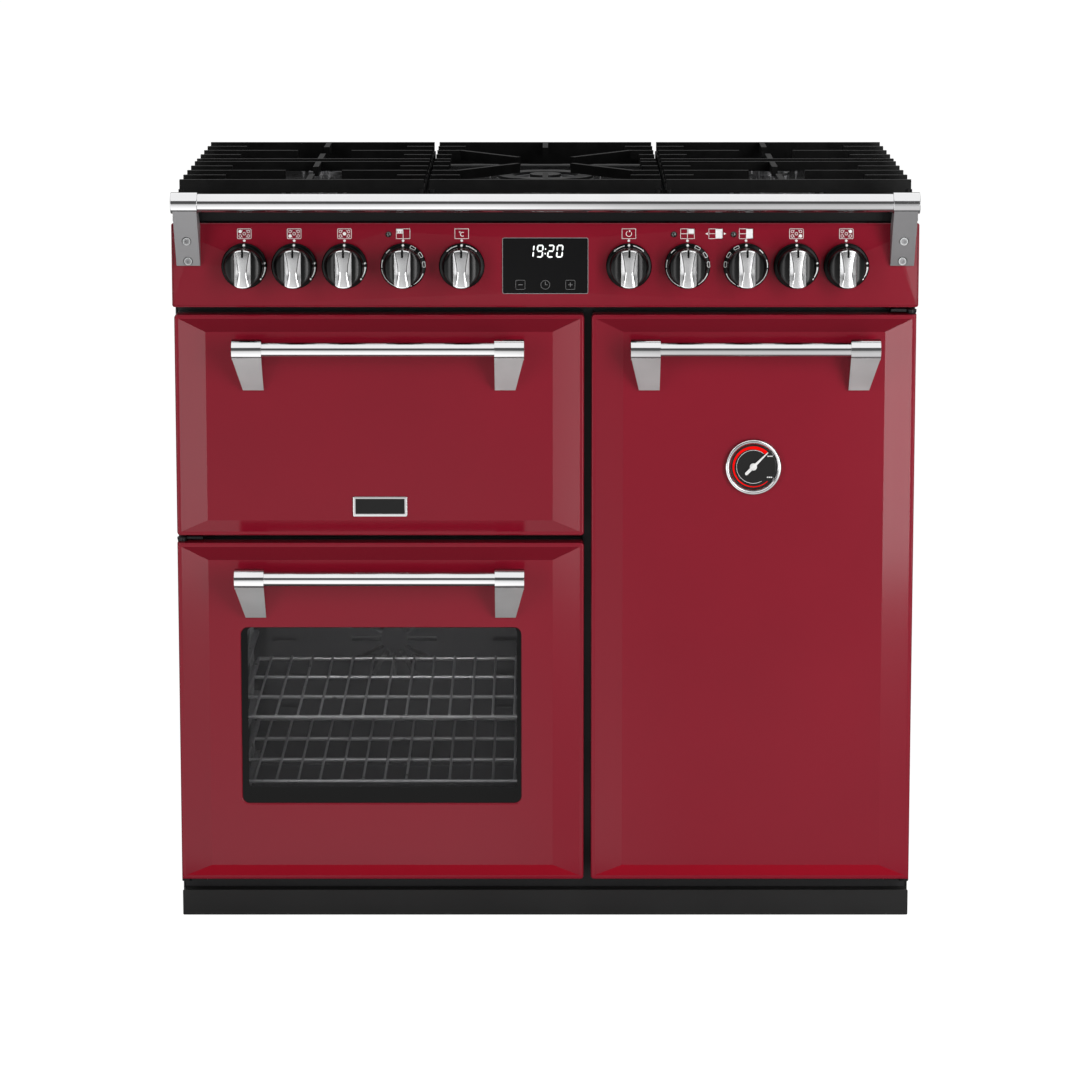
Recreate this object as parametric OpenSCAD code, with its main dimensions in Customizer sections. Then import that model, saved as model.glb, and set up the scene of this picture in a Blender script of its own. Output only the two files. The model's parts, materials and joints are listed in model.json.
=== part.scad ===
// Range cooker with a five burner gas hob, a grill oven over a main oven, and a tall oven.
// Millimetres. X runs to the right, Y to the back and Z up, from the middle of the footprint.
// Inside at_front(), Y counts from the face of the control panel and the doors.

/* [Cabinet] */
// Width across the control panel and the cabinet
overall_w = 900; // [890:1:930]
// Depth from the control panel's face to the back panel
body_d = 600; // [595:1:640]
// Thickness of the sheet steel
sheet_t = 2; // [1.6:0.1:2.4]
// Height of the plinth's top
plinth_top = 35; // [30:1:38]
// How far the plinth stands behind the doors
plinth_set = 31; // [24:1:38]
// Clearance between the plinth and the floor
plinth_clear = 3; // [1:0.5:8]
// Height of the side walls of the base tray
base_h = 22; // [16:1:26]
// Thickness of the insulation round each oven
insulation_t = 20; // [14:1:22]

/* [Doors] */
// Height of the doors' lower edges above the floor
door_bottom = 57; // [55:1:70]
// Height of the lower left door
lower_door_h = 422; // [400:1:440]
// Height of the upper left door
upper_door_h = 271; // [260:1:290]
// Width of the left doors
left_door_w = 495; // [480:1:505]
// Gap between neighbouring doors
door_gap = 9; // [8.6:0.1:11]
// How far the doors' outer edges lie inside the overall width
door_inset = 2; // [1:0.5:3]
// Thickness of a door without its raised field
door_t = 44; // [42:1:50]
// Depth of the outer pan of a door
pan_d = 22; // [20:1:26]
// Running gap between a door and the front frame
door_clear = 4; // [3:0.5:6]
// Height of the raised field
field_h = 6.5; // [4:0.5:8]
// Width of the sloping border at the sides of a field
bevel_x = 33; // [25:1:38]
// Width of the sloping border above and below a field
bevel_z = 15; // [12:1:18]
// Flat lip between a door's edge and its sloping border
lip_w = 5; // [3:0.5:7]
// Corner radius of the doors
door_r = 4; // [2:0.5:6]

/* [Window] */
// Width of the window opening
window_w = 342; // [300:1:360]
// Height of the window opening
window_h = 220; // [200:1:240]
// Height of the window's lower edge above the door's lower edge
window_rise = 98; // [85:1:105]
// Corner radius of the window
window_r = 8.5; // [4:0.5:12]
// How far the panes reach past the opening
pane_lap = 10; // [8:1:14]
// Thickness of a pane
pane_t = 4; // [3:0.5:5]

/* [Handles] */
// Radius of the handle bars
bar_r = 9; // [8:0.5:10]
// Radius of the round caps on the bars
cap_r = 12.7; // [12:0.1:14]
// Length of a cap
cap_w = 35.5; // [30:0.5:40]
// Distance from the door's edge plane to the bar's axis
handle_reach = 42.5; // [36:0.5:43.5]
// Distance from a door's top edge down to its bar
handle_drop = 36.5; // [34:0.5:45]
// Length of the left doors' handles
left_handle_w = 350; // [300:1:380]
// Length of the tall door's handle
right_handle_w = 299; // [260:1:320]
// Distance from the bar's axis to the foot of a leg
leg_h = 54; // [48:1:60]
// Width of a leg at its foot
leg_foot_w = 25; // [20:1:28]
// Thickness of a leg at its foot
leg_foot_t = 5; // [3:0.5:7]

/* [Ovens] */
// Distance from a left door's edges to the side walls of the oven behind it
left_cavity_side = 57.5; // [52.5:0.5:67.5]
// Distance from the tall door's edges to the side walls of the oven behind it
right_cavity_side = 41; // [38:0.5:51]
// Depth of the ovens behind the front frame
cavity_d = 420; // [405:1:430]
// Distance from a door's upper or lower edge to its oven
cavity_margin = 30; // [29:0.5:32]
// Spacing of the shelf levels
runner_pitch = 41; // [38:1:44]
// Height of the lowest shelf level above the oven floor
runner_first = 71; // [60:1:80]
// Thickness of the runner bars
runner_t = 5; // [4:0.5:6]
// Radius of the shelves' frame wires
wire_r = 2.5; // [2:0.1:3]
// Radius of the shelves' thin wires
thin_wire_r = 1.6; // [1.3:0.1:1.8]
// Spacing of the shelves' thin wires
wire_pitch = 27; // [24:1:32]
// Distance of the shelves behind the closed doors
shelf_play = 36; // [20:1:50]
// Depth of the grill pan
pan_h = 32; // [26:1:38]

/* [Fans] */
// Radius of a fan's blades
fan_r = 70; // [60:1:75]
// Radius of a fan's shaft
shaft_r = 4; // [3:0.5:5]
// Radius of a fan motor
motor_r = 30; // [26:1:34]
// Length of a fan motor
motor_l = 50; // [40:1:60]
// Radius of the ring elements' centre line
ring_r = 92; // [88:1:98]
// Radius of the heating rods
rod_r = 3.5; // [3:0.1:4]
// Depth of the fan covers
cover_d = 36; // [34:1:40]
// Height of the main oven's fan cover
main_cover_h = 280; // [260:1:300]
// Height of the tall oven's fan cover
tall_cover_h = 520; // [480:1:560]

/* [Control panel] */
// Height of the control panel
facia_h = 102; // [100:1:110]
// Depth of the control panel's folded edges
facia_d = 46; // [44:1:47]
// Corner radius of the control panel
facia_r = 3; // [1:0.5:5]
// Distance of the outer knobs from the ends of the control panel
knob_end = 88; // [85:0.5:92]
// Distance of the inner knobs from the edge of the clock's glass
knob_gap = 49.25; // [40:0.25:55]
// Places of the five knobs of a side, from the inner knob at 0 to the outer one at 1
knob_steps = [0, 0.2696, 0.5392, 0.77055, 1];
// Height of the knobs above the control panel's lower edge
knob_rise = 51; // [49:1:54]
// Width of the clock's glass
display_w = 102.5; // [90:0.5:110]
// Height of the clock's glass
display_h = 67; // [50:0.5:70]
// Radius of the indicator lamps
lamp_r = 3.4; // [2.5:0.1:4]
// Distances of the three lamps from the knobs at their right
lamp_side = [17.4, 16.3, 15];

/* [Knobs] */
// Radius of a knob's skirt
skirt_r = 27.5; // [26:0.1:28.5]
// Thickness of a knob's skirt
skirt_t = 6; // [4:0.5:8]
// Gap between a knob's skirt and the control panel
knob_clear = 4; // [3.6:0.1:6]
// Radius of a knob's barrel
barrel_r = 23; // [21:0.5:24]
// Distance from the skirt's face to the barrel's face
barrel_l = 20; // [16:1:24]
// Width of a knob's grip bar
grip_w = 19; // [16:0.5:21]
// How far the grip bar stands out of the barrel
grip_out = 12; // [8:1:15]
// Depth of the grip bar's seat in the barrel
grip_seat = 6; // [4:0.5:8]
// Radius of the control stems
stem_r = 4; // [3:0.5:5]
// Travel of a gas knob when it is pushed in
push_travel = 3; // [2:0.1:3.4]
// Radius of a gas tap's turning plug
plug_r = 9; // [8:0.5:11]

/* [Rail] */
// Distance from the control panel to the rail's axis
rail_reach = 44; // [42:1:52]
// Height of the rail's axis above the control panel
rail_rise = 29; // [27:1:31]
// Radius of the rail
rail_r = 11; // [9:0.5:11.5]
// Radius of the rail's end sleeves
sleeve_r = 12.75; // [12.5:0.05:14]
// Length of an end sleeve
sleeve_w = 32; // [30:1:40]
// How far the sleeves end inside the overall width
rail_inset = 4; // [2:0.5:6]
// Width of a rail bracket
bracket_w = 28.5; // [24:0.5:30]
// Height of a rail bracket's foot on the control panel
bracket_foot = 51; // [48:1:56]

/* [Hob] */
// Height of the hob's edge above the control panel
hob_lip = 15; // [12:1:20]
// How far the hob's front edge lies behind the control panel's face
hob_set = 12; // [8:1:16]
// Height of the pan supports above the hob
grate_h = 30; // [28:1:36]
// Width of the pan supports' bars
grate_bar = 7; // [6:0.5:8]
// Height of the pan supports' fingers
finger_h = 12; // [10:0.5:13]
// Height of the pan supports' front and rear bars
grate_front_h = 16; // [14:0.5:20]
// Distance from the control panel's face to the pan supports
grate_set = 76; // [72:1:84]
// Spacing of the fingers
row_pitch = 57.25; // [56:0.25:58]
// Spacing of the two middle rows
row_middle = 35; // [32:1:38]
// Distance of the pan supports from the sides of the hob
grate_edge = 4.5; // [3:0.5:10]
// Width of the middle pan support
mid_grate_w = 282; // [270:1:284]
// Gap between neighbouring pan supports
grate_gap = 6.5; // [4:0.5:8]
// Length of the short fingers at the inner side of a side pan support
finger_in = 35; // [25:1:45]
// Length of the short fingers at its outer side
finger_out = 52; // [40:1:60]
// Distance of the side burners from the sides of the hob
burner_edge = 162; // [158:1:170]
// Radii of the four side burners' caps
burner_r = [32, 22, 50, 33];
// Outer radius of the wok burner
wok_r = 64; // [58:1:68]
// Lift of the burner caps under the pan supports
cap_lift = 4; // [3:0.1:4.5]

/* [Gauge] */
// Radius of the gauge's bezel
gauge_r = 34; // [30:0.5:38]
// Distance from the tall door's top edge down to the gauge
gauge_drop = 184.5; // [160:0.5:220]
// How far the bezel stands out of the door
gauge_out = 8; // [7:0.5:10]

/* [Feet] */
// Radius of the feet's pads
foot_r = 11; // [9:0.5:11.5]
// Radius of the feet's threaded stems
foot_stem_r = 5; // [4:0.5:6]
// How far the feet screw out
foot_travel = 30; // [20:1:35]

/* [Supply] */
// Radius of the gas inlet's threaded end
inlet_r = 10.5; // [8:0.25:12]
// Length of the gas inlet's threaded end
inlet_l = 18; // [15:1:20]
// Radius of the cable entry
cable_r = 10; // [8:0.5:12]
// Radius of the holes for the wall bracket
wall_hole_r = 2.75; // [2.5:0.25:4]
// Distance between the holes for the wall bracket
wall_hole_gap = 300; // [200:10:400]

/* [Fits] */
// Running clearance round pins and stems
run = 0.05; // [0.02:0.01:0.1]
// Clearance between separate pieces that nest
nest = 0.3; // [0.2:0.05:0.5]

/* [Hidden] */
$fn = 48;

red = [0.52, 0.07, 0.12];
black = [0.08, 0.08, 0.08];
dark = [0.2, 0.2, 0.21];
chrome = [0.85, 0.85, 0.87];
grey = [0.55, 0.55, 0.56];

front_reach = max(rail_reach + sleeve_r, handle_reach + cap_r);
front_y = -(body_d + front_reach) / 2 + front_reach;
half_w = overall_w / 2;
inner_w = half_w - sheet_t;
knob_in = display_w / 2 + knob_gap;
knob_x = [for (s = knob_steps) knob_in + (half_w - knob_end - knob_in) * s];
lamp_x = [-knob_x[1] - lamp_side[0], knob_x[1] - lamp_side[1], knob_x[2] - lamp_side[2]];
frame_d = door_t + door_clear;

lower_z0 = door_bottom;
lower_z1 = lower_z0 + lower_door_h;
upper_z0 = lower_z1 + door_gap;
upper_z1 = upper_z0 + upper_door_h;
facia_z0 = upper_z1 + door_gap;
facia_z1 = facia_z0 + facia_h;
hob_z = facia_z1 + hob_lip;
grate_z = hob_z + grate_h;
grate_rear_h = grate_h - 1.5;
knob_z = facia_z0 + knob_rise;
rail_z = facia_z1 + rail_rise;
tray_z0 = plinth_top + sheet_t;

left_x0 = -half_w + door_inset;
left_x1 = left_x0 + left_door_w;
right_x0 = left_x1 + door_gap;
right_x1 = half_w - door_inset;
left_cx = (left_x0 + left_x1) / 2;
right_cx = (right_x0 + right_x1) / 2;

left_cavity_w = left_door_w - 2 * left_cavity_side;
right_cavity_w = right_x1 - right_x0 - 2 * right_cavity_side;
// Each oven: middle, inner width, floor and ceiling
grill_oven = [left_cx, left_cavity_w, upper_z0 + cavity_margin, upper_z1 - cavity_margin];
main_oven = [left_cx, left_cavity_w, lower_z0 + cavity_margin, lower_z1 - cavity_margin];
tall_oven = [right_cx, right_cavity_w, lower_z0 + cavity_margin, upper_z1 - cavity_margin];
ovens = [grill_oven, main_oven, tall_oven];
oven_y0 = frame_d + sheet_t;
oven_y1 = oven_y0 + cavity_d;
insulation_y1 = oven_y1 + sheet_t + insulation_t;
cover_y0 = oven_y1 - cover_d;
fan_y0 = cover_y0 + 10;

// Each oven fan: middle, height, cover width and cover height
main_fan_at = [left_cx, (main_oven[2] + main_oven[3]) / 2, left_cavity_w - 40, main_cover_h];
tall_fan_at = [right_cx, (tall_oven[2] + tall_oven[3]) / 2, right_cavity_w - 40, tall_cover_h];
fans = [main_fan_at, tall_fan_at];

// Side hinges: the pin's distance from the door's outer edge and from its face
pivot_in = 5;
pivot_y = 14;
pin_r = 3;
pin_l = 12;
hinge_plate_t = 3;
hinge_plate_w = 31;
// Drop hinges of the upper door: distance from its middle, and height above its lower edge
drop_x = 215;
drop_rise = 8;
drop_y = 8;
drop_pin_r = 4;
drop_arm_w = 8;
drop_arm_r = 5;
drop_block_w = 10;

tap_y0 = 24;
tap_l = 60;
tap_w = 28;
plug_l = 30;
manifold_r = 8;
manifold_y = tap_y0 + tap_l - 9;
manifold_z = knob_z - 17 - manifold_r;
feed_r = 4;
feed_z = knob_z + 12;
inlet_x = overall_w / 2 - 50;
inlet_y1 = body_d - sheet_t - 6;
terminal_w = 90;
terminal_h = 60;
vent_w = 60;
side_drop = 15;
// Lengths of the middle pan support's two spines, in rows
spine_front = 84 / 57.25;
spine_rear = 76 / 57.25;
vent_pitch = inner_w / 5;
cup_z0 = feed_z + 20;
front_row_y = grate_set + 2 * row_pitch;
rear_row_y = grate_set + 6 * row_pitch + row_middle;
wok_y = (front_row_y + rear_row_y) / 2;
burner_x = half_w - burner_edge;
// Each side burner: place across, place back and cap radius
burners = [[-burner_x, front_row_y, burner_r[0]], [-burner_x, rear_row_y, burner_r[1]],
    [burner_x, front_row_y, burner_r[2]], [burner_x, rear_row_y, burner_r[3]]];
head_h = 8;
cap_t = 5;
flange_t = 3;
// Gas taps from left to right, and the burner that each one feeds
tap_x = [-knob_x[4], -knob_x[3], -knob_x[2], knob_x[3], knob_x[4]];
tap_feeds = [burners[1], burners[0], [0, wok_y, wok_r], burners[2], burners[3]];
oven_knob_x = [-knob_x[1], -knob_x[0], knob_x[0], knob_x[1], knob_x[2]];

bolt_head_r = 4.5;
foot_x = inner_w - foot_r;
foot_y = [130, body_d - 40];
gauge_z = upper_z1 - gauge_drop;

function arc(cx, cy, r, from, steps = 4) =
    [for (i = [0:steps]) [cx + r * cos(from + 90 * i / steps), cy + r * sin(from + 90 * i / steps)]];

function rounded(w, h, r) = concat(
    arc(w / 2 - r, h / 2 - r, r, 0), arc(-w / 2 + r, h / 2 - r, r, 90),
    arc(-w / 2 + r, -h / 2 + r, r, 180), arc(w / 2 - r, -h / 2 + r, r, 270));

function gear(r, tooth, count) = [for (i = [0:count * 4 - 1])
    let (a = 90 * i / count, d = (i % 4 < 2) ? r : r - tooth) [d * cos(a), d * sin(a)]];

// The place of a row of fingers, counted from the front
function row_y(i) = grate_set + row_pitch * i + (i > 4 ? row_middle - row_pitch : 0);

module at_front() { translate([0, front_y, 0]) children(); }

module block(lo, hi) { translate(lo) cube(hi - lo); }

module rod_x(x0, x1, y, z, r, fn = 32) {
    translate([x0, y, z]) rotate([0, 90, 0]) cylinder(h = x1 - x0, r = r, $fn = fn);
}

module rod_y(y0, y1, x, z, r, fn = 32) {
    translate([x, y0, z]) rotate([-90, 0, 0]) cylinder(h = y1 - y0, r = r, $fn = fn);
}

module rod_z(z0, z1, x, y, r, fn = 32) {
    translate([x, y, z0]) cylinder(h = z1 - z0, r = r, $fn = fn);
}

// An upright plate with round corners, from y0 back to y1
module plate(cx, cz, w, h, r, y0, y1) {
    translate([cx, y1, cz]) rotate([90, 0, 0]) linear_extrude(y1 - y0) polygon(rounded(w, h, r));
}

// A shape drawn in Y and Z, run along X
module along_x(x0, x1) {
    translate([x0, 0, 0]) rotate([90, 0, 90]) linear_extrude(x1 - x0) children();
}

// The raised field's block, whose four borders slope to its face
module field(cx, cz, w, h, depth) {
    intersection() {
        translate([cx, 0, cz - h / 2]) linear_extrude(h)
            polygon([[-w / 2, 0], [-w / 2 + bevel_x, -depth], [w / 2 - bevel_x, -depth], [w / 2, 0]]);
        along_x(cx - w / 2, cx + w / 2)
            polygon([[0, cz - h / 2], [0, cz + h / 2], [-depth, cz + h / 2 - bevel_z],
                [-depth, cz - h / 2 + bevel_z]]);
    }
}

module mirror_x() {
    children();
    mirror([1, 0, 0]) children();
}

module outer_panels() {
    color(black) at_front() {
        mirror_x() block([inner_w, facia_d, plinth_top - side_drop], [half_w, body_d, facia_z1]);
        difference() {
            block([-inner_w, body_d - sheet_t, plinth_top], [inner_w, body_d, facia_z1]);
            rod_y(body_d - 2 * sheet_t, body_d + 1, inlet_x, manifold_z, 3 * inlet_r);
            block([-inlet_x - terminal_w / 2 - nest, body_d - 2 * sheet_t, lower_z1 - terminal_h / 2 - nest],
                [-inlet_x + terminal_w / 2 + nest, body_d + 1, lower_z1 + terminal_h / 2 + nest]);
            for (x = [-1, 1])
                rod_y(body_d - 2 * sheet_t, body_d + 1, x * wall_hole_gap / 2, facia_z0, wall_hole_r);
            for (i = [-3:3])
                block([i * vent_pitch - vent_w / 2, body_d - 2 * sheet_t, upper_z0 + 40],
                    [i * vent_pitch + vent_w / 2, body_d + 1, upper_z0 + 46]);
        }
    }
}

module base_frame() {
    color(black) at_front() {
        difference() {
            union() {
                difference() {
                    block([-inner_w, oven_y0, plinth_top], [inner_w, body_d - sheet_t, plinth_top + base_h]);
                    block([-inner_w + sheet_t, oven_y0 + sheet_t, tray_z0],
                        [inner_w - sheet_t, body_d - 2 * sheet_t, plinth_top + base_h + 1]);
                }
                for (x = [-foot_x, foot_x], y = foot_y)
                    rod_z(plinth_top, plinth_top + base_h, x, y, foot_stem_r + 3);
            }
            for (x = [-foot_x, foot_x], y = foot_y)
                rod_z(plinth_top - 1, plinth_top + base_h + 1, x, y, foot_stem_r + run);
        }
    }
}

module levelling_feet() {
    color(dark) at_front()
        for (x = [-foot_x, foot_x], y = foot_y) {
            rod_z(0, 8, x, y, foot_r);
            rod_z(7, plinth_top + base_h + foot_travel, x, y, foot_stem_r);
        }
}

module plinth() {
    skirt = 60;
    color(dark) at_front() {
        plate(0, (plinth_clear + plinth_top) / 2, overall_w, plinth_top - plinth_clear, 1.5,
            plinth_set, plinth_set + sheet_t);
        block([-half_w + 2, plinth_set, plinth_top - sheet_t], [half_w - 2, plinth_set + skirt, plinth_top]);
        mirror_x() block([half_w - 2 - sheet_t, plinth_set, plinth_clear + 2],
            [half_w - 2, plinth_set + skirt, plinth_top]);
    }
}

module front_frame() {
    color(black) at_front()
        difference() {
            block([-inner_w, frame_d, plinth_top], [inner_w, frame_d + sheet_t, facia_z0]);
            for (o = ovens)
                block([o[0] - o[1] / 2, frame_d - 1, o[2]], [o[0] + o[1] / 2, frame_d + sheet_t + 1, o[3]]);
        }
}

// The box that holds an oven, grown by a wall on every side but its mouth
module oven_box(o, grow, y0, y1) {
    block([o[0] - o[1] / 2 - grow, y0, o[2] - grow], [o[0] + o[1] / 2 + grow, y1, o[3] + grow]);
}

// What passes through the back of an oven with a fan
module fan_passages(shaft_hole) {
    for (f = fans) {
        rod_y(oven_y1 - 1, insulation_y1 + 1, f[0], f[1], shaft_hole);
        for (x = [-12, 12]) rod_y(oven_y1 - 1, insulation_y1 + 1, f[0] + x, f[1] - ring_r, rod_r + 1.5);
    }
    for (x = [-120, 120])
        rod_y(oven_y1 - 1, insulation_y1 + 1, left_cx + x, grill_oven[3] - 18, rod_r + 1.5);
}

module oven_liners() {
    color(dark) at_front()
        difference() {
            for (o = ovens) oven_box(o, sheet_t, oven_y0, oven_y1 + sheet_t);
            for (o = ovens) oven_box(o, 0, oven_y0 - 1, oven_y1);
            fan_passages(2 * shaft_r);
        }
}

module insulation() {
    color([0.8, 0.78, 0.65]) at_front()
        difference() {
            for (o = ovens) oven_box(o, sheet_t + insulation_t, oven_y0, insulation_y1);
            for (o = ovens) oven_box(o, sheet_t, oven_y0 - 1, oven_y1 + sheet_t);
            fan_passages(motor_r + 2);
        }
}

module door_seals() {
    width = 9;
    color(black) at_front()
        for (o = ovens)
            difference() {
                plate(o[0], (o[2] + o[3]) / 2, o[1] + 2 * width + 4, o[3] - o[2] + 2 * width + 4, 12,
                    door_t + nest, frame_d);
                plate(o[0], (o[2] + o[3]) / 2, o[1] + 4, o[3] - o[2] + 4, 6, door_t - 1, frame_d + 1);
            }
}

// A hinge plate with its upright pin. The pin goes to the door's side of the plate.
module side_hinge(z0, up) {
    x = half_w - door_inset - pivot_in;
    along = up ? 1 : -1;
    face = up ? z0 + hinge_plate_t : z0;
    block([x - hinge_plate_w + 6, pivot_y, z0], [inner_w - nest, frame_d, z0 + hinge_plate_t]);
    rod_z(z0, z0 + hinge_plate_t, x, pivot_y, 6);
    rod_z(min(face, face + along * (2 - nest)), max(face, face + along * (2 - nest)), x, pivot_y, 5.5);
    rod_z(min(face - along * 2, face + along * pin_l), max(face - along * 2, face + along * pin_l),
        x, pivot_y, pin_r);
}

module drop_hinge(x) {
    z = upper_z0 + drop_rise;
    block([x - drop_arm_w / 2, drop_y, z - drop_arm_r], [x + drop_arm_w / 2, frame_d, z + drop_arm_r]);
    rod_x(x - drop_arm_w / 2, x + drop_arm_w / 2, drop_y, z, drop_arm_r);
    rod_x(x - drop_arm_w / 2 - drop_block_w, x + drop_arm_w / 2 + drop_block_w, drop_y, z, drop_pin_r);
}

module door_hinges() {
    top = hinge_plate_t + 2;
    color(dark) at_front() {
        mirror([1, 0, 0]) side_hinge(lower_z1 + 2, false);
        mirror([1, 0, 0]) side_hinge(lower_z0 - top, true);
        side_hinge(upper_z1 + 2, false);
        side_hinge(lower_z0 - top, true);
        drop_hinge(left_cx - drop_x);
        drop_hinge(left_cx + drop_x);
    }
}

// The side walls' ladders of one oven, from level first on
module ladder(o, levels) {
    y0 = oven_y0 + 20;
    y1 = cover_y0 - 4;
    for (side = [-1, 1]) {
        wall = o[0] + side * o[1] / 2;
        inner = wall - side * runner_t;
        tread = wall - side * 2 * runner_t;
        for (y = [y0 + 20, y1 - 20])
            block([min(wall, inner), y, o[2] + 8], [max(wall, inner), y + runner_t, o[2] + levels[len(levels) - 1] + 8]);
        for (z = levels)
            block([min(inner, tread) - 1, y0, o[2] + z - runner_t], [max(inner, tread) + 1, y1, o[2] + z]);
    }
}

function levels(o) = [for (z = [runner_first - runner_pitch:runner_pitch:o[3] - o[2] - 50]) z];

module shelf_runners() {
    color(chrome) at_front() {
        ladder(grill_oven, [runner_first - 30, runner_first + 10, runner_first + 50]);
        ladder(main_oven, levels(main_oven));
        ladder(tall_oven, levels(tall_oven));
    }
}

module fan_covers() {
    color(dark) at_front()
        for (f = fans)
            difference() {
                plate(f[0], f[1], f[2], f[3], 6, cover_y0, oven_y1);
                plate(f[0], f[1], f[2] - 2 * sheet_t, f[3] - 2 * sheet_t, 4, cover_y0 + sheet_t, oven_y1 + 1);
                for (i = [0:11])
                    translate([f[0], cover_y0 - 1, f[1]]) rotate([0, i * 30, 0])
                        block([18, 0, -3], [fan_r * 0.8, sheet_t + 2, 3]);
                for (side = [-1, 1], i = [-2:2])
                    block([f[0] + side * (f[2] / 2 - 24) - 15, cover_y0 - 1, f[1] + i * 45 - 3],
                        [f[0] + side * (f[2] / 2 - 24) + 15, cover_y0 + sheet_t + 1, f[1] + i * 45 + 3]);
            }
}

module fan_motors() {
    color(grey) at_front()
        for (f = fans)
            difference() {
                rod_y(oven_y1 + sheet_t, oven_y1 + sheet_t + motor_l, f[0], f[1], motor_r);
                rod_y(oven_y1, oven_y1 + sheet_t + motor_l - 5, f[0], f[1], shaft_r + run);
            }
}

module oven_fan(f) {
    blades = 8;
    color(grey) at_front() {
        rod_y(fan_y0 - 3, oven_y1 + motor_l - 10, f[0], f[1], shaft_r);
        rod_y(fan_y0, fan_y0 + 17, f[0], f[1], 10);
        rod_y(fan_y0 + 15, fan_y0 + 17, f[0], f[1], fan_r);
        for (i = [0:blades - 1])
            translate([f[0], 0, f[1]]) rotate([0, i * 360 / blades, 0])
                block([8, fan_y0, -0.75], [fan_r, fan_y0 + 16, 0.75]);
    }
}

module main_fan() { oven_fan(main_fan_at); }

module tall_fan() { oven_fan(tall_fan_at); }

// A half turn of rod that joins two runs of the grill element
module rod_bend(x, y, z, r, turn) {
    translate([x, y, z]) rotate([0, 0, turn]) rotate_extrude(angle = 180) translate([r, 0]) circle(rod_r);
}

module heating_elements() {
    z = grill_oven[3] - 18;
    y0 = oven_y0 + 70;
    y1 = oven_y1 - 70;
    color(grey) at_front() {
        for (f = fans) {
            translate([f[0], fan_y0 + 8, f[1]]) rotate([90, 0, 0])
                rotate_extrude() translate([ring_r, 0]) circle(rod_r);
            for (x = [-12, 12]) rod_y(fan_y0 + 8, insulation_y1 + 8, f[0] + x, f[1] - ring_r, rod_r - 0.5);
            block([f[0] - 22, oven_y1 - sheet_t, f[1] - ring_r - 8], [f[0] + 22, oven_y1, f[1] - ring_r + 8]);
        }
        for (x = [-120, 120]) rod_y(y0, insulation_y1 + 8, left_cx + x, z, rod_r);
        for (x = [-40, 40]) rod_y(y0, y1, left_cx + x, z, rod_r);
        rod_bend(left_cx - 80, y0, z, 40, 180);
        rod_bend(left_cx + 80, y0, z, 40, 180);
        rod_bend(left_cx, y1, z, 40, 0);
        for (y = [y0 + 40, y1 - 40])
            block([left_cx - 126, y, z - 1], [left_cx + 126, y + 5, z + 1]);
        for (y = [y0 + 40, y1 - 40], x = [-80, 80])
            block([left_cx + x - 5, y, z], [left_cx + x + 5, y + 5, grill_oven[3]]);
    }
}

// A wire shelf that rests on the runners at a level
module shelf(o, level) {
    z = o[2] + level + nest + wire_r;
    x = o[1] / 2 - 2 * runner_t;
    y0 = door_t + shelf_play;
    y1 = cover_y0 - 6;
    count = floor((x - 8) / wire_pitch);
    for (side = [-1, 1]) rod_y(y0 + wire_r, y1 - wire_r, o[0] + side * x, z, wire_r, 8);
    for (y = [y0 + wire_r, y0 + (y1 - y0) / 3, y0 + 2 * (y1 - y0) / 3, y1 - wire_r])
        rod_x(o[0] - x, o[0] + x, y, z, wire_r, 8);
    for (i = [-count:count])
        rod_y(y0 + 1, y1 - 1, o[0] + i * wire_pitch, z + wire_r, thin_wire_r, 8);
}

module main_shelf_upper() {
    color(chrome) at_front() shelf(main_oven, runner_first + 2 * runner_pitch);
}

module main_shelf_lower() {
    color(chrome) at_front() shelf(main_oven, runner_first);
}

module tall_shelves() {
    color(chrome) at_front()
        for (i = [1, 5, 9]) shelf(tall_oven, runner_first + i * runner_pitch);
}

module grill_pan() {
    o = grill_oven;
    level = o[2] + runner_first + 10 + nest;
    x = o[1] / 2 - 2 * runner_t;
    y0 = door_t + shelf_play;
    y1 = cover_y0 - 6;
    wall = 1.5;
    inner = x - 14;
    color(dark) at_front() {
        difference() {
            union() {
                block([o[0] - x, y0, level], [o[0] + x, y1, level + wall]);
                block([o[0] - inner, y0 + 12, level - pan_h], [o[0] + inner, y1 - 12, level + wall]);
            }
            block([o[0] - inner + wall, y0 + 12 + wall, level - pan_h + wall],
                [o[0] + inner - wall, y1 - 12 - wall, level + wall + 1]);
        }
        for (y = [y0 + 40, (y0 + y1) / 2, y1 - 40])
            rod_x(o[0] - inner + 4, o[0] + inner - 4, y, level - pan_h / 2, wire_r, 8);
        for (y = [y0 + 40, y1 - 40], side = [-1, 1])
            rod_z(level - pan_h + wall + nest, level - pan_h / 2, o[0] + side * (inner - 12), y, wire_r, 8);
        for (i = [-5:5])
            rod_y(y0 + 34, y1 - 34, o[0] + i * wire_pitch, level - pan_h / 2 + wire_r, thin_wire_r, 8);
    }
}

// The radius of a burner's cup, and the distance of its spark plug from the middle
function cup_r(r) = r * 0.62 + 4;
function plug_x(r) = max(cup_r(r) + 9, r + 6);

// The holes that a burner needs in the hob
module hob_hole(x, y, r) {
    rod_z(facia_z1 - 1, hob_z + 1, x, y, cup_r(r) + nest);
    for (side = [-1, 1]) rod_z(facia_z1 - 1, hob_z + 1, x + side * plug_x(r), y, 3.2);
}

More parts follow.
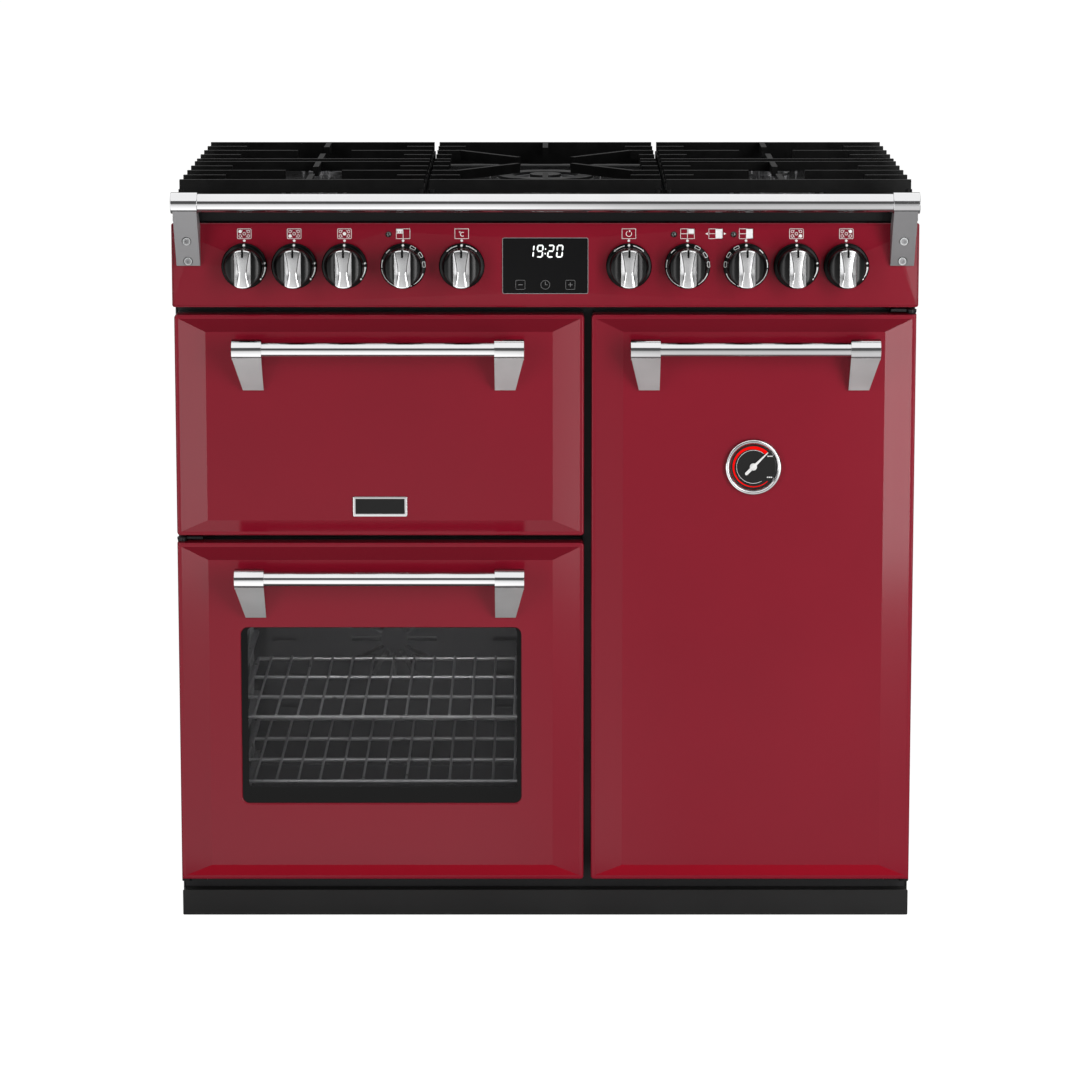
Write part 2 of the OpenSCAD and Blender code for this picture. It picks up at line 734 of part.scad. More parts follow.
module hob_top() {
    corner = 12;
    depth = body_d - hob_set;
    color(black) at_front()
        difference() {
            translate([0, hob_set + depth / 2, facia_z1]) linear_extrude(hob_lip)
                polygon(rounded(overall_w, depth, corner));
            translate([0, hob_set + depth / 2, facia_z1 - 1]) linear_extrude(hob_lip + 1 - sheet_t)
                polygon(rounded(overall_w - 2 * sheet_t, depth - 2 * sheet_t, corner - sheet_t));
            for (b = burners) hob_hole(b[0], b[1], b[2]);
            hob_hole(0, wok_y, wok_r);
            for (i = [-5:5])
                block([i * 60 - 22, body_d - 22, hob_z - 5], [i * 60 + 22, body_d - 14, hob_z + 1]);
        }
}

// The cup, flame head, spark plug and flame sensor of one burner
module burner_body(x, y, r) {
    c = cup_r(r);
    plug = plug_x(r);
    difference() {
        union() {
            rod_z(cup_z0, hob_z + 1, x, y, c);
            rod_z(hob_z, hob_z + flange_t, x, y, c + 4);
            translate([x, y, hob_z + flange_t - 1]) linear_extrude(head_h - flange_t + 1)
                polygon(gear(r - 2, 2.5, 24));
            block([x - plug - 6, y - 6, cup_z0], [x + plug + 6, y + 6, cup_z0 + 4]);
        }
        rod_z(cup_z0 + 6, hob_z + head_h + 1, x, y, c - 6);
        rod_z(cup_z0 - 1, cup_z0 + 7, x, y, feed_r + nest);
        for (side = [-1, 1]) rod_z(cup_z0 - 1, cup_z0 + 5, x + side * plug, y, 2.5 + run);
    }
    for (side = [-1, 1]) {
        rod_z(cup_z0 - 6, hob_z + 3, x + side * plug, y, 2.5);
        rod_z(hob_z + 2, hob_z + head_h + 2, x + side * plug, y, 1.2);
    }
}

module burner_bodies() {
    color(grey) at_front() {
        for (b = burners) burner_body(b[0], b[1], b[2]);
        burner_body(0, wok_y, wok_r);
        difference() {
            rod_z(cup_z0 + 5, hob_z + head_h, 0, wok_y, 22);
            rod_z(cup_z0 + 4, hob_z + head_h + 1, 0, wok_y, 17);
        }
    }
}

module burner_caps() {
    z = hob_z + head_h;
    color(black) at_front() {
        for (b = burners) {
            rod_z(z, z + cap_t, b[0], b[1], b[2]);
            rod_z(z - 3, z + 1, b[0], b[1], cup_r(b[2]) - 7);
        }
        difference() {
            rod_z(z, z + cap_t - 1, 0, wok_y, wok_r - 3);
            rod_z(z - 1, z + cap_t, 0, wok_y, wok_r - 22);
        }
        rod_z(z + 0.5, z + cap_t, 0, wok_y, 20);
        rod_z(z - 3, z + 1, 0, wok_y, 16);
    }
}

// A pipe from a tap back, across and up to its burner
module feed_pipe(x, burner) {
    y = burner[1];
    rod_y(tap_y0 + tap_l, y, x, feed_z, feed_r);
    translate([x, y, feed_z]) sphere(feed_r);
    rod_x(min(x, burner[0]), max(x, burner[0]), y, feed_z, feed_r - 0.2);
    translate([burner[0], y, feed_z]) sphere(feed_r);
    rod_z(feed_z, cup_z0 + 5, burner[0], y, feed_r - 0.1);
}

module gas_pipes() {
    color([0.8, 0.75, 0.6]) at_front() {
        rod_x(-inner_w, inner_w, manifold_y, manifold_z, manifold_r);
        rod_y(manifold_y, inlet_y1 - inlet_l, inlet_x, manifold_z, manifold_r - 1);
        rod_y(inlet_y1 - inlet_l - 10, inlet_y1 - inlet_l, inlet_x, manifold_z, inlet_r + 3, 6);
        rod_y(inlet_y1 - inlet_l - 1, inlet_y1, inlet_x, manifold_z, inlet_r);
        for (i = [0:4]) feed_pipe(tap_x[i], tap_feeds[i]);
    }
}

module gas_taps() {
    color([0.75, 0.65, 0.4]) at_front()
        for (x = tap_x)
            difference() {
                union() {
                    block([x - tap_w / 2, tap_y0, knob_z - 15], [x + tap_w / 2, tap_y0 + tap_l, knob_z + 18]);
                    block([x - tap_w / 2, manifold_y - 13, manifold_z], [x + tap_w / 2, tap_y0 + tap_l, knob_z]);
                }
                rod_y(tap_y0 - 1, tap_y0 + plug_l + 1, x, knob_z, plug_r + run);
                rod_x(x - tap_w, x + tap_w, manifold_y, manifold_z, manifold_r + run);
            }
}

// The flat sided outline of a control stem
module stem_outline(grow) {
    intersection() {
        circle(stem_r + grow);
        translate([-stem_r - 1, -stem_r - 1]) square([2 * stem_r + 1 - stem_r * 0.35 + grow, 2 * stem_r + 2]);
    }
}

module stem(x, y0, y1, grow = 0) {
    translate([x, y1, knob_z]) rotate([90, 0, 0]) linear_extrude(y1 - y0) stem_outline(grow);
}

module tap_plug(x) {
    color([0.75, 0.65, 0.4]) at_front()
        difference() {
            rod_y(tap_y0 + 0.5, tap_y0 + plug_l, x, knob_z, plug_r);
            stem(x, tap_y0 - 1, tap_y0 + plug_l - 1, run);
        }
}

// A control knob: black body, bright grip bar and stem, which ends at stem_y
module knob(x, stem_y) {
    skirt_y = -knob_clear - skirt_t;
    barrel_y = skirt_y - barrel_l;
    seat_y = barrel_y + grip_seat;
    grip_y = barrel_y - grip_out;
    color(black) difference() {
        union() {
            rod_y(skirt_y, -knob_clear, x, knob_z, skirt_r, 64);
            rod_y(barrel_y, skirt_y + 1, x, knob_z, barrel_r, 64);
        }
        block([x - grip_w / 2 - run, barrel_y - 1, knob_z - barrel_r - 1],
            [x + grip_w / 2 + run, seat_y, knob_z + barrel_r + 1]);
        stem(x, skirt_y - 10, 0, run);
    }
    color(chrome) intersection() {
        block([x - grip_w / 2, grip_y, knob_z - barrel_r], [x + grip_w / 2, seat_y - run, knob_z + barrel_r]);
        rod_x(x - grip_w / 2, x + grip_w / 2, grip_y + 62, knob_z, 62, 64);
    }
    color(grey) stem(x, skirt_y - 10 + run, stem_y);
}

module gas_knob(x) { at_front() knob(x, tap_y0 + plug_l - 6); }

module oven_knob(x) { at_front() knob(x, tap_y0 + 20); }

module facia() {
    mid_z = (facia_z0 + facia_z1) / 2;
    color(red) at_front()
        difference() {
            plate(0, mid_z, overall_w, facia_h, facia_r, 0, facia_d);
            plate(0, mid_z, overall_w - 2 * sheet_t, facia_h - 2 * sheet_t, facia_r / 2, sheet_t, facia_d + 1);
            for (x = knob_x, side = [-1, 1]) rod_y(-1, sheet_t + 1, side * x, knob_z, stem_r + 3);
            plate(0, knob_z - 0.5, display_w + nest, display_h + nest, 3, -1, sheet_t + 1);
            for (x = lamp_x) rod_y(-1, sheet_t + 1, x, facia_z1 - 13.5, lamp_r + nest);
            for (x = bracket_bolts_x(), z = bracket_bolts_z()) rod_y(-1, sheet_t + 1, x, z, 3 + run);
        }
}

module clock_display() {
    at_front() {
        color(black) plate(0, knob_z - 0.5, display_w, display_h, 3, -0.8, sheet_t - 0.1);
        color(dark) plate(0, knob_z - 0.5, display_w + 8, display_h + 8, 3, sheet_t, facia_d);
        color("orange") for (x = lamp_x) {
            rod_y(-1.5, 16, x, facia_z1 - 13.5, lamp_r);
            rod_y(sheet_t, sheet_t + 3, x, facia_z1 - 13.5, lamp_r + 2);
        }
    }
}

module oven_controls() {
    size = 40;
    color(dark) at_front() {
        for (x = oven_knob_x)
            difference() {
                union() {
                    rod_y(sheet_t, tap_y0 + 1, x, knob_z, stem_r + 6);
                    block([x - size / 2, tap_y0, knob_z - size / 2], [x + size / 2, tap_y0 + size, knob_z + size / 2]);
                }
                rod_y(sheet_t - 1, tap_y0 + 24, x, knob_z, stem_r + run);
            }
        block([-inner_w, body_d / 2 - 50, knob_z - 20], [-inner_w + 40, body_d / 2 + 30, knob_z + 20]);
        difference() {
            block([-inlet_x - terminal_w / 2, body_d - 45, lower_z1 - terminal_h / 2],
                [-inlet_x + terminal_w / 2, body_d, lower_z1 + terminal_h / 2]);
            rod_y(body_d - 30, body_d + 1, -inlet_x, lower_z1, cable_r);
        }
    }
}

rail_x = half_w - rail_inset;
function bracket_x() = half_w - 6.5 - bracket_w;
function bracket_bolts_x() = [-bracket_x() - bracket_w / 2, bracket_x() + bracket_w / 2];
function bracket_bolts_z() = [facia_z0 + bracket_foot + 6, facia_z0 + bracket_foot + 32];

module towel_rail() {
    socket = 12;
    color(chrome) at_front() {
        rod_x(-rail_x + sleeve_w - socket, rail_x - sleeve_w + socket, -rail_reach, rail_z, rail_r);
        mirror_x() difference() {
            rod_x(rail_x - sleeve_w, rail_x, -rail_reach, rail_z, sleeve_r);
            rod_x(rail_x - sleeve_w - 1, rail_x - sleeve_w + socket + 1, -rail_reach, rail_z, rail_r + run);
        }
    }
}

module rail_brackets() {
    foot = facia_z0 + bracket_foot;
    bolt_x = bracket_bolts_x()[1];
    color(grey) at_front() mirror_x() {
        difference() {
            along_x(bracket_x(), bracket_x() + bracket_w)
                polygon([[0, foot], [-5, foot], [-rail_reach - 9, rail_z - 9],
                    [-rail_reach + 11, rail_z - 7], [0, facia_z1 - 3]]);
            rod_x(bracket_x() - 1, bracket_x() + bracket_w + 1, -rail_reach, rail_z, sleeve_r + run);
            for (z = bracket_bolts_z()) rod_y(-60, 1, bolt_x, z, 3 + run);
            for (i = [0, 1]) rod_y(-60, -5 - i * 18, bolt_x, bracket_bolts_z()[i], bolt_head_r + 1.2);
        }
        for (i = [0, 1]) difference() {
            union() {
                rod_y(-6 - i * 18, sheet_t + 8, bolt_x, bracket_bolts_z()[i], 3);
                rod_y(-9 - i * 18, -5 - i * 18 - run, bolt_x, bracket_bolts_z()[i], bolt_head_r);
            }
            rod_y(-10 - i * 18, -7 - i * 18, bolt_x, bracket_bolts_z()[i], 2, 6);
        }
    }
}

// The outer pan of a door, closed at the front, with its raised field
module door_pan(x0, x1, z0, z1) {
    cx = (x0 + x1) / 2;
    cz = (z0 + z1) / 2;
    w = x1 - x0;
    h = z1 - z0;
    difference() {
        union() {
            plate(cx, cz, w, h, door_r, 0, pan_d);
            field(cx, cz, w - 2 * lip_w, h - 2 * lip_w, field_h);
        }
        plate(cx, cz, w - 2 * sheet_t, h - 2 * sheet_t, door_r / 2, sheet_t, pan_d + 1);
        translate([0, sheet_t + 0.01, 0])
            field(cx, cz, w - 2 * lip_w, h - 2 * lip_w, field_h);
    }
}

// The inner tray of a door, closed at the back
module door_tray(x0, x1, z0, z1) {
    cx = (x0 + x1) / 2;
    cz = (z0 + z1) / 2;
    difference() {
        plate(cx, cz, x1 - x0 - 1, z1 - z0 - 1, door_r, pan_d, door_t);
        plate(cx, cz, x1 - x0 - 1 - 2 * sheet_t, z1 - z0 - 1 - 2 * sheet_t, door_r / 2,
            pan_d - 1, door_t - sheet_t);
    }
}

// The blocks that hold a side hinged door's pins, for a hinge at the right
module pin_blocks(x1, z0, z1) {
    x = x1 - pivot_in;
    difference() {
        for (z = [z0, z1 - 15])
            block([x - 9, sheet_t, z], [x1, pan_d, z + 15]);
        for (z = [z0 - 1, z1 - pin_l]) rod_z(z, z + pin_l + 1, x, pivot_y, pin_r + run);
    }
}

module pin_holes(x1, z0, z1) {
    for (z = [z0 - 1, z1 - pin_l]) rod_z(z, z + pin_l + 1, x1 - pivot_in, pivot_y, pin_r + run);
}

module drop_slots() {
    z = upper_z0 + drop_rise;
    for (side = [-1, 1])
        block([left_cx + side * drop_x - drop_arm_w / 2 - 1, sheet_t, upper_z0 - 1],
            [left_cx + side * drop_x + drop_arm_w / 2 + 1, door_t + 1, z + drop_arm_r + 1]);
}

module upper_door_panel() {
    z = upper_z0 + drop_rise;
    reach = drop_arm_w / 2 + 1 + drop_block_w;
    color(red) at_front()
        difference() {
            union() {
                door_pan(left_x0, left_x1, upper_z0, upper_z1);
                for (side = [-1, 1])
                    block([left_cx + side * drop_x - reach, sheet_t - 1, upper_z0 + 1],
                        [left_cx + side * drop_x + reach, pan_d, z + 10]);
            }
            drop_slots();
            for (side = [-1, 1])
                rod_x(left_cx + side * drop_x - reach + 0.5, left_cx + side * drop_x + reach - 0.5,
                    drop_y, z, drop_pin_r + run);
        }
}

module upper_door_liner() {
    color(black) at_front()
        difference() {
            door_tray(left_x0, left_x1, upper_z0, upper_z1);
            drop_slots();
        }
}

module lower_door_panel() {
    color(red) at_front()
        difference() {
            union() {
                door_pan(left_x0, left_x1, lower_z0, lower_z1);
                mirror([1, 0, 0]) pin_blocks(-left_x0, lower_z0, lower_z1);
            }
            mirror([1, 0, 0]) pin_holes(-left_x0, lower_z0, lower_z1);
            plate(left_cx, window_z(), window_w, window_h, window_r, -field_h - 1, sheet_t + 1);
        }
}

function window_z() = lower_z0 + window_rise + window_h / 2;

module lower_door_liner() {
    color(black) at_front()
        difference() {
            door_tray(left_x0, left_x1, lower_z0, lower_z1);
            plate(left_cx, window_z(), window_w, window_h, window_r, pan_d, door_t + 1);
        }
}

module lower_door_glass() {
    w = window_w + 2 * pane_lap;
    h = window_h + 2 * pane_lap;
    outer_y = sheet_t - field_h;
    inner_y = door_t - sheet_t - pane_t;
    color(dark) at_front() {
        plate(left_cx, window_z(), w, h, window_r, outer_y + 0.01, outer_y + pane_t);
        plate(left_cx, window_z(), w, h, window_r, inner_y, inner_y + pane_t);
    }
}

module tall_door_panel() {
    color(red) at_front()
        difference() {
            union() {
                door_pan(right_x0, right_x1, lower_z0, upper_z1);
                pin_blocks(right_x1, lower_z0, upper_z1);
            }
            pin_holes(right_x1, lower_z0, upper_z1);
            rod_y(-field_h - 1, sheet_t + 1, right_cx, gauge_z, gauge_r - 8 + nest);
        }
}

module tall_door_liner() {
    color(black) at_front()
        difference() {
            door_tray(right_x0, right_x1, lower_z0, upper_z1);
            rod_y(pan_d, door_t + 1, right_cx, gauge_z, 4);
        }
}

// A handle: a round bar between two legs that lean out from the door's field
module handle(cx, z, w) {
    socket = 20;
    end = w / 2;
    y = -handle_reach;
    rod_x(cx - end + cap_w - socket, cx + end - cap_w + socket, y, z, bar_r);
    for (side = [0, 1]) translate([cx, 0, 0]) mirror([side, 0, 0]) difference() {
        union() {
            rod_x(end - cap_w, end, y, z, cap_r);
            intersection() {
                translate([0, 0, z]) rotate([90, 0, 0]) linear_extrude(handle_reach + cap_r)
                    polygon([[end - cap_w, 5], [end - cap_w, -leg_h],
                        [end - cap_w + leg_foot_w, -leg_h], [end, -8], [end, 5]]);
                along_x(end - cap_w - 1, end + 1)
                    polygon([[-field_h, z - leg_h], [-field_h - leg_foot_t, z - leg_h],
                        [y - cap_r * 0.8, z - cap_r * 0.6], [y + cap_r * 0.5, z + cap_r * 0.3],
                        [-field_h, z - leg_h / 3]]);
            }
        }
        rod_x(end - cap_w - 1, end - cap_w + socket + 1, y, z, bar_r + run);
    }
}

module upper_door_handle() {
    color(chrome) at_front() handle(left_cx, upper_z1 - handle_drop, left_handle_w);
}

module lower_door_handle() {
    color(chrome) at_front() handle(left_cx, lower_z1 - handle_drop, left_handle_w);
}

module tall_door_handle() {
    color(chrome) at_front() handle(right_cx, upper_z1 - handle_drop, right_handle_w);
}

module badge_plate() {
    color(chrome) at_front() plate(left_cx, upper_z0 + 37.5, 65.5, 24.5, 2, -field_h - 2.5, -field_h);
}

module gauge_case() {
    rim = 6.5;
    face_y = -field_h - gauge_out;
    color(chrome) at_front() {
        difference() {
            union() {
                rod_y(face_y, -field_h, right_cx, gauge_z, gauge_r);
                rod_y(-field_h - 1, 16, right_cx, gauge_z, gauge_r - 8);
                rod_y(15, oven_y0 + 8, right_cx, gauge_z, 3);
            }
            rod_y(face_y - 1, -field_h - 1, right_cx, gauge_z, gauge_r - rim);
        }
        rod_y(face_y + 1, face_y + 2, right_cx, gauge_z, gauge_r - rim - nest);
        rod_y(-field_h - 4, -field_h - 0.5, right_cx, gauge_z, 1);
    }
}

module gauge_pointer() {
    y0 = -field_h - 3.2;
    tip = 20;
    tail = 9;
    color("white") at_front()
        difference() {
            union() {
                rod_y(y0, y0 + 1.2, right_cx, gauge_z, 3);
                translate([right_cx, y0 + 1, gauge_z]) rotate([90, 0, 0]) linear_extrude(0.8)
                    rotate([0, 0, 45]) polygon([[-tail, -1.2], [tip, -0.5], [tip, 0.5], [-tail, 1.2]]);
            }
            rod_y(y0 - 1, y0 + 2, right_cx, gauge_z, 1 + run);
        }
}

// One bar of a pan support, between two places across at a row
module grate_row(x0, x1, y, h) {
    block([x0, y - grate_bar / 2, grate_z - h], [x1, y + grate_bar / 2, grate_z]);
}

// A front to back finger, between two places back
module grate_spine(x, y0, y1) {
    block([x - grate_bar / 2, y0, grate_z - finger_h], [x + grate_bar / 2, y1, grate_z]);
}

// The low side rails and feet that carry the rows of a pan support
module grate_sides(x0, x1) {
    for (x = [x0, x1 - grate_bar]) {
        block([x, row_y(0), grate_z - grate_front_h], [x + grate_bar, row_y(9), grate_z - finger_h + 2]);
        for (y = [row_y(0), row_y(9)])
            rod_z(hob_z, grate_z - finger_h, x + grate_bar / 2, y, grate_bar / 2 + 1.5);
    }
}

// The right pan support: full bars at rows 0, 4, 5 and 9, short fingers at the next, long at the middle
module side_grate() {
    x0 = mid_grate_w / 2 + grate_gap;
    x1 = half_w - grate_edge;
    long = 35;
    reach = row_pitch * 2 - 45;
    grate_sides(x0, x1);
    grate_row(x0, x1, row_y(0), grate_front_h);
    grate_row(x0, x1, row_y(9), grate_rear_h);
    for (i = [4, 5]) grate_row(x0, x1, row_y(i), finger_h);
    for (i = [1, 3, 6, 8]) {
        grate_row(x0, x0 + finger_in, row_y(i), finger_h);
        grate_row(x1 - finger_out, x1, row_y(i), finger_h);
    }
    for (i = [2, 7]) {
        grate_row(x0, burner_x - long, row_y(i), finger_h);
        grate_row(burner_x + long, x1, row_y(i), finger_h);
    }
    for (y = [row_y(0), row_y(5)]) grate_spine(burner_x, y, y + reach);
    for (y = [row_y(4), row_y(9)]) grate_spine(burner_x, y - reach, y);
}

module pan_support_right() {
    color(black) at_front() side_grate();
}

module pan_support_left() {
    color(black) at_front() mirror([1, 0, 0]) side_grate();
}

// A slanting finger of the middle pan support, towards the wok burner
module slant(y, way) {
    start = [mid_grate_w / 2 - 32, y];
    end = [34.5, wok_y - way * 41];
    run_x = start[0] - end[0];
    run_y = end[1] - start[1];
    length = sqrt(run_x * run_x + run_y * run_y);
    translate([start[0], start[1], grate_z - finger_h]) rotate([0, 0, 180 - atan2(run_y, run_x)])
        translate([-3, -grate_bar / 2, 0]) cube([length + 3, grate_bar, finger_h]);
}

module pan_support_middle() {
    x = mid_grate_w / 2;
    color(black) at_front() {
        grate_sides(-x, x);
        grate_row(-x, x, row_y(0), grate_front_h);
        grate_row(-x, x, row_y(9), grate_rear_h);
        mirror_x() {
            for (i = [1, 8]) grate_row(x - 36, x, row_y(i), finger_h);
            for (i = [3, 4, 5, 6]) grate_row(x - 20, x, row_y(i), finger_h);
            for (i = [2, 7]) grate_row(x - 32, x, row_y(i), finger_h);
            slant(row_y(2), 1);
            slant(row_y(7), -1);
        }
        grate_spine(0, row_y(0), row_y(0) + spine_front * row_pitch);
        grate_spine(0, row_y(9) - spine_rear * row_pitch, row_y(9));
    }
}

outer_panels();
base_frame();
plinth();
levelling_feet();
front_frame();
oven_liners();
insulation();
door_seals();
door_hinges();
shelf_runners();
fan_covers();
fan_motors();
heating_elements();
hob_top();
burner_bodies();
burner_caps();
gas_pipes();
gas_taps();
facia();
clock_display();
oven_controls();
towel_rail();
rail_brackets();
upper_door_panel();
upper_door_liner();
upper_door_handle();
badge_plate();
lower_door_panel();
lower_door_liner();
lower_door_glass();
lower_door_handle();
tall_door_panel();
tall_door_liner();
tall_door_handle();
gauge_case();
gauge_pointer();
main_fan();
tall_fan();
main_shelf_upper();
main_shelf_lower();
tall_shelves();
grill_pan();
pan_support_left();
pan_support_middle();
pan_support_right();
gas_knob(tap_x[0]);  // gas_knob_1
gas_knob(tap_x[1]);  // gas_knob_2
gas_knob(tap_x[2]);  // gas_knob_3
gas_knob(tap_x[3]);  // gas_knob_4
gas_knob(tap_x[4]);  // gas_knob_5
tap_plug(tap_x[0]);  // tap_plug_1
tap_plug(tap_x[1]);  // tap_plug_2
tap_plug(tap_x[2]);  // tap_plug_3
tap_plug(tap_x[3]);  // tap_plug_4
tap_plug(tap_x[4]);  // tap_plug_5
oven_knob(oven_knob_x[0]);  // oven_knob_1
oven_knob(oven_knob_x[1]);  // oven_knob_2
oven_knob(oven_knob_x[2]);  // oven_knob_3
oven_knob(oven_knob_x[3]);  // oven_knob_4
oven_knob(oven_knob_x[4]);  // oven_knob_5
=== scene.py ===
"""The looks of the range cooker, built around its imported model. Metres, X right, Y back, Z up."""

import json
import math

import bmesh
import bpy
from mathutils import Matrix, Vector

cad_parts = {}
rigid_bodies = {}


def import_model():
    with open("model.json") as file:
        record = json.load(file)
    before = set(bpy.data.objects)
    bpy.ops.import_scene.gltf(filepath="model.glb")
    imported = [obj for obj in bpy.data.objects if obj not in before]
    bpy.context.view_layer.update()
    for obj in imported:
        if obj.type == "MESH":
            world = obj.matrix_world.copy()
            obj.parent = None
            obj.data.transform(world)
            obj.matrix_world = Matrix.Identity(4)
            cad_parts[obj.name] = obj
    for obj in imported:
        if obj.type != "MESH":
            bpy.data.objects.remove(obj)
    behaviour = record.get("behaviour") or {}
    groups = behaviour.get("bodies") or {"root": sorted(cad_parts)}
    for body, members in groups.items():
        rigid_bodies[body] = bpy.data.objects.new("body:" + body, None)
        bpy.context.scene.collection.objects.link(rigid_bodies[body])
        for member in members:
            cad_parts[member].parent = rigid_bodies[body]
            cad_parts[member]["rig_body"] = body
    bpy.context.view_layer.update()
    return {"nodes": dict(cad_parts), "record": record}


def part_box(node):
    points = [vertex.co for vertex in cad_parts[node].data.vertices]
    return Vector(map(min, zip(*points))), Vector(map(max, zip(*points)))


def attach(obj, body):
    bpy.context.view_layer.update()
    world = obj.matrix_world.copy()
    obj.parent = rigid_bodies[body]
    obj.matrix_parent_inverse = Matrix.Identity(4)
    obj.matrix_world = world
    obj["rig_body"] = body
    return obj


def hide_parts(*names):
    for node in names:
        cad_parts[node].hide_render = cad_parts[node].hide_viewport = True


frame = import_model()
MM = 0.001


# ---------------------------------------------------------------- places, from the frame
def middle(node):
    """The middle of a node's box."""
    low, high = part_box(node)
    return (low + high) / 2


FACIA_LOW, FACIA_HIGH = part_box("facia")
FRONT = FACIA_LOW.y
WINDOW_LOW, WINDOW_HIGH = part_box("lower_door_glass")
FIELD = 6.5 * MM                        # how far a door's field stands proud of FRONT
SKIRT_FACE, SKIRT_R = FRONT - 10 * MM, 27.5 * MM
BARREL_FACE, BARREL_R = FRONT - 30 * MM, 23 * MM
GRIP_W = 20 * MM
MARK_R = 25.2 * MM                      # the ring of marks on a knob's skirt
BURNER_X = 288 * MM
LAMP_X = (-188.4 * MM, 154.7 * MM, 226.5 * MM)
LAMP_Z = FACIA_HIGH.z - 13.5 * MM
CLOCK_Z = FACIA_LOW.z + 50.5 * MM
BOLT_X = (-429.25 * MM, 429.25 * MM)
BOLT_Z = (825 * MM, 851 * MM)
HANDLE_AXES = {"upper_door_handle": 722.5 * MM, "lower_door_handle": 442.5 * MM,
               "tall_door_handle": 722.5 * MM}
FLUSH = 0.3 * MM                        # a point this close to a plane lies on it
PRINT, ROOT = 0.12 * MM, 0.1 * MM       # how far prints stand proud of a face, and reach behind it


# ---------------------------------------------------------------- materials
MIX_A, MIX_B, MIX_OUT = 6, 7, 2         # the colour sockets of a Mix node


def new_material(name):
    """A new node material, with its nodes, its links and its shader."""
    m = bpy.data.materials.new(name)
    m.use_nodes = True
    nodes = m.node_tree.nodes
    return m, nodes, m.node_tree.links, nodes["Principled BSDF"]


def noise(nodes, links, scale, detail=3.0, stretch=None):
    """A noise texture in the object's own coordinates, in cycles per metre."""
    coord = nodes.new("ShaderNodeTexCoord")
    tex = nodes.new("ShaderNodeTexNoise")
    tex.inputs["Scale"].default_value = scale
    tex.inputs["Detail"].default_value = detail
    if stretch:
        mapping = nodes.new("ShaderNodeMapping")
        mapping.inputs["Scale"].default_value = stretch
        links.new(coord.outputs["Object"], mapping.inputs["Vector"])
        links.new(mapping.outputs["Vector"], tex.inputs["Vector"])
    else:
        links.new(coord.outputs["Object"], tex.inputs["Vector"])
    return tex


def colour_mix(nodes, blend="MIX", factor=1.0):
    """A node that mixes the colours at MIX_A and MIX_B."""
    mix = nodes.new("ShaderNodeMix")
    mix.data_type, mix.blend_type = "RGBA", blend
    mix.inputs[0].default_value = factor
    return mix


def surface(name, colour, rough, metallic=0.0, vary=0.06, scale=8.0, rough_vary=0.25, bump=0.0,
            bump_scale=400.0, stretch=None, ior=1.5, coat=0.0, alpha=1.0, speckle=0.0):
    """A finish whose colour, roughness and bump wander a little over the surface."""
    m, nodes, links, bsdf = new_material(name)
    tex = noise(nodes, links, scale, 4.0, stretch)
    ramp = nodes.new("ShaderNodeValToRGB")
    dark, pale = ramp.color_ramp.elements
    dark.position, dark.color = 0.3, (*[c * (1 - vary) for c in colour], 1)
    pale.position, pale.color = 0.7, (*[min(1, c * (1 + vary)) for c in colour], 1)
    links.new(tex.outputs["Fac"], ramp.inputs["Fac"])
    source = ramp.outputs["Color"]
    if speckle:
        dots = noise(nodes, links, 900.0, 1.0)
        pick = nodes.new("ShaderNodeValToRGB")
        blank, fleck = pick.color_ramp.elements
        blank.position, blank.color = 0.62, (0, 0, 0, 1)
        fleck.position, fleck.color = 0.7, (speckle, speckle, speckle, 1)
        add = colour_mix(nodes, "ADD")
        links.new(dots.outputs["Fac"], pick.inputs["Fac"])
        links.new(source, add.inputs[MIX_A])
        links.new(pick.outputs["Color"], add.inputs[MIX_B])
        source = add.outputs[MIX_OUT]
    links.new(source, bsdf.inputs["Base Color"])
    spread = nodes.new("ShaderNodeMapRange")
    spread.inputs["To Min"].default_value = rough * (1 - rough_vary)
    spread.inputs["To Max"].default_value = min(1, rough * (1 + rough_vary))
    links.new(tex.outputs["Fac"], spread.inputs["Value"])
    links.new(spread.outputs["Result"], bsdf.inputs["Roughness"])
    bsdf.inputs["Metallic"].default_value = metallic
    bsdf.inputs["IOR"].default_value = ior
    bsdf.inputs["Coat Weight"].default_value = coat
    bsdf.inputs["Alpha"].default_value = alpha
    if bump:
        grain = noise(nodes, links, bump_scale, 2.0, stretch)
        node = nodes.new("ShaderNodeBump")
        node.inputs["Strength"].default_value = bump
        node.inputs["Distance"].default_value = 0.0004
        links.new(grain.outputs["Fac"], node.inputs["Height"])
        links.new(node.outputs["Normal"], bsdf.inputs["Normal"])
    return m


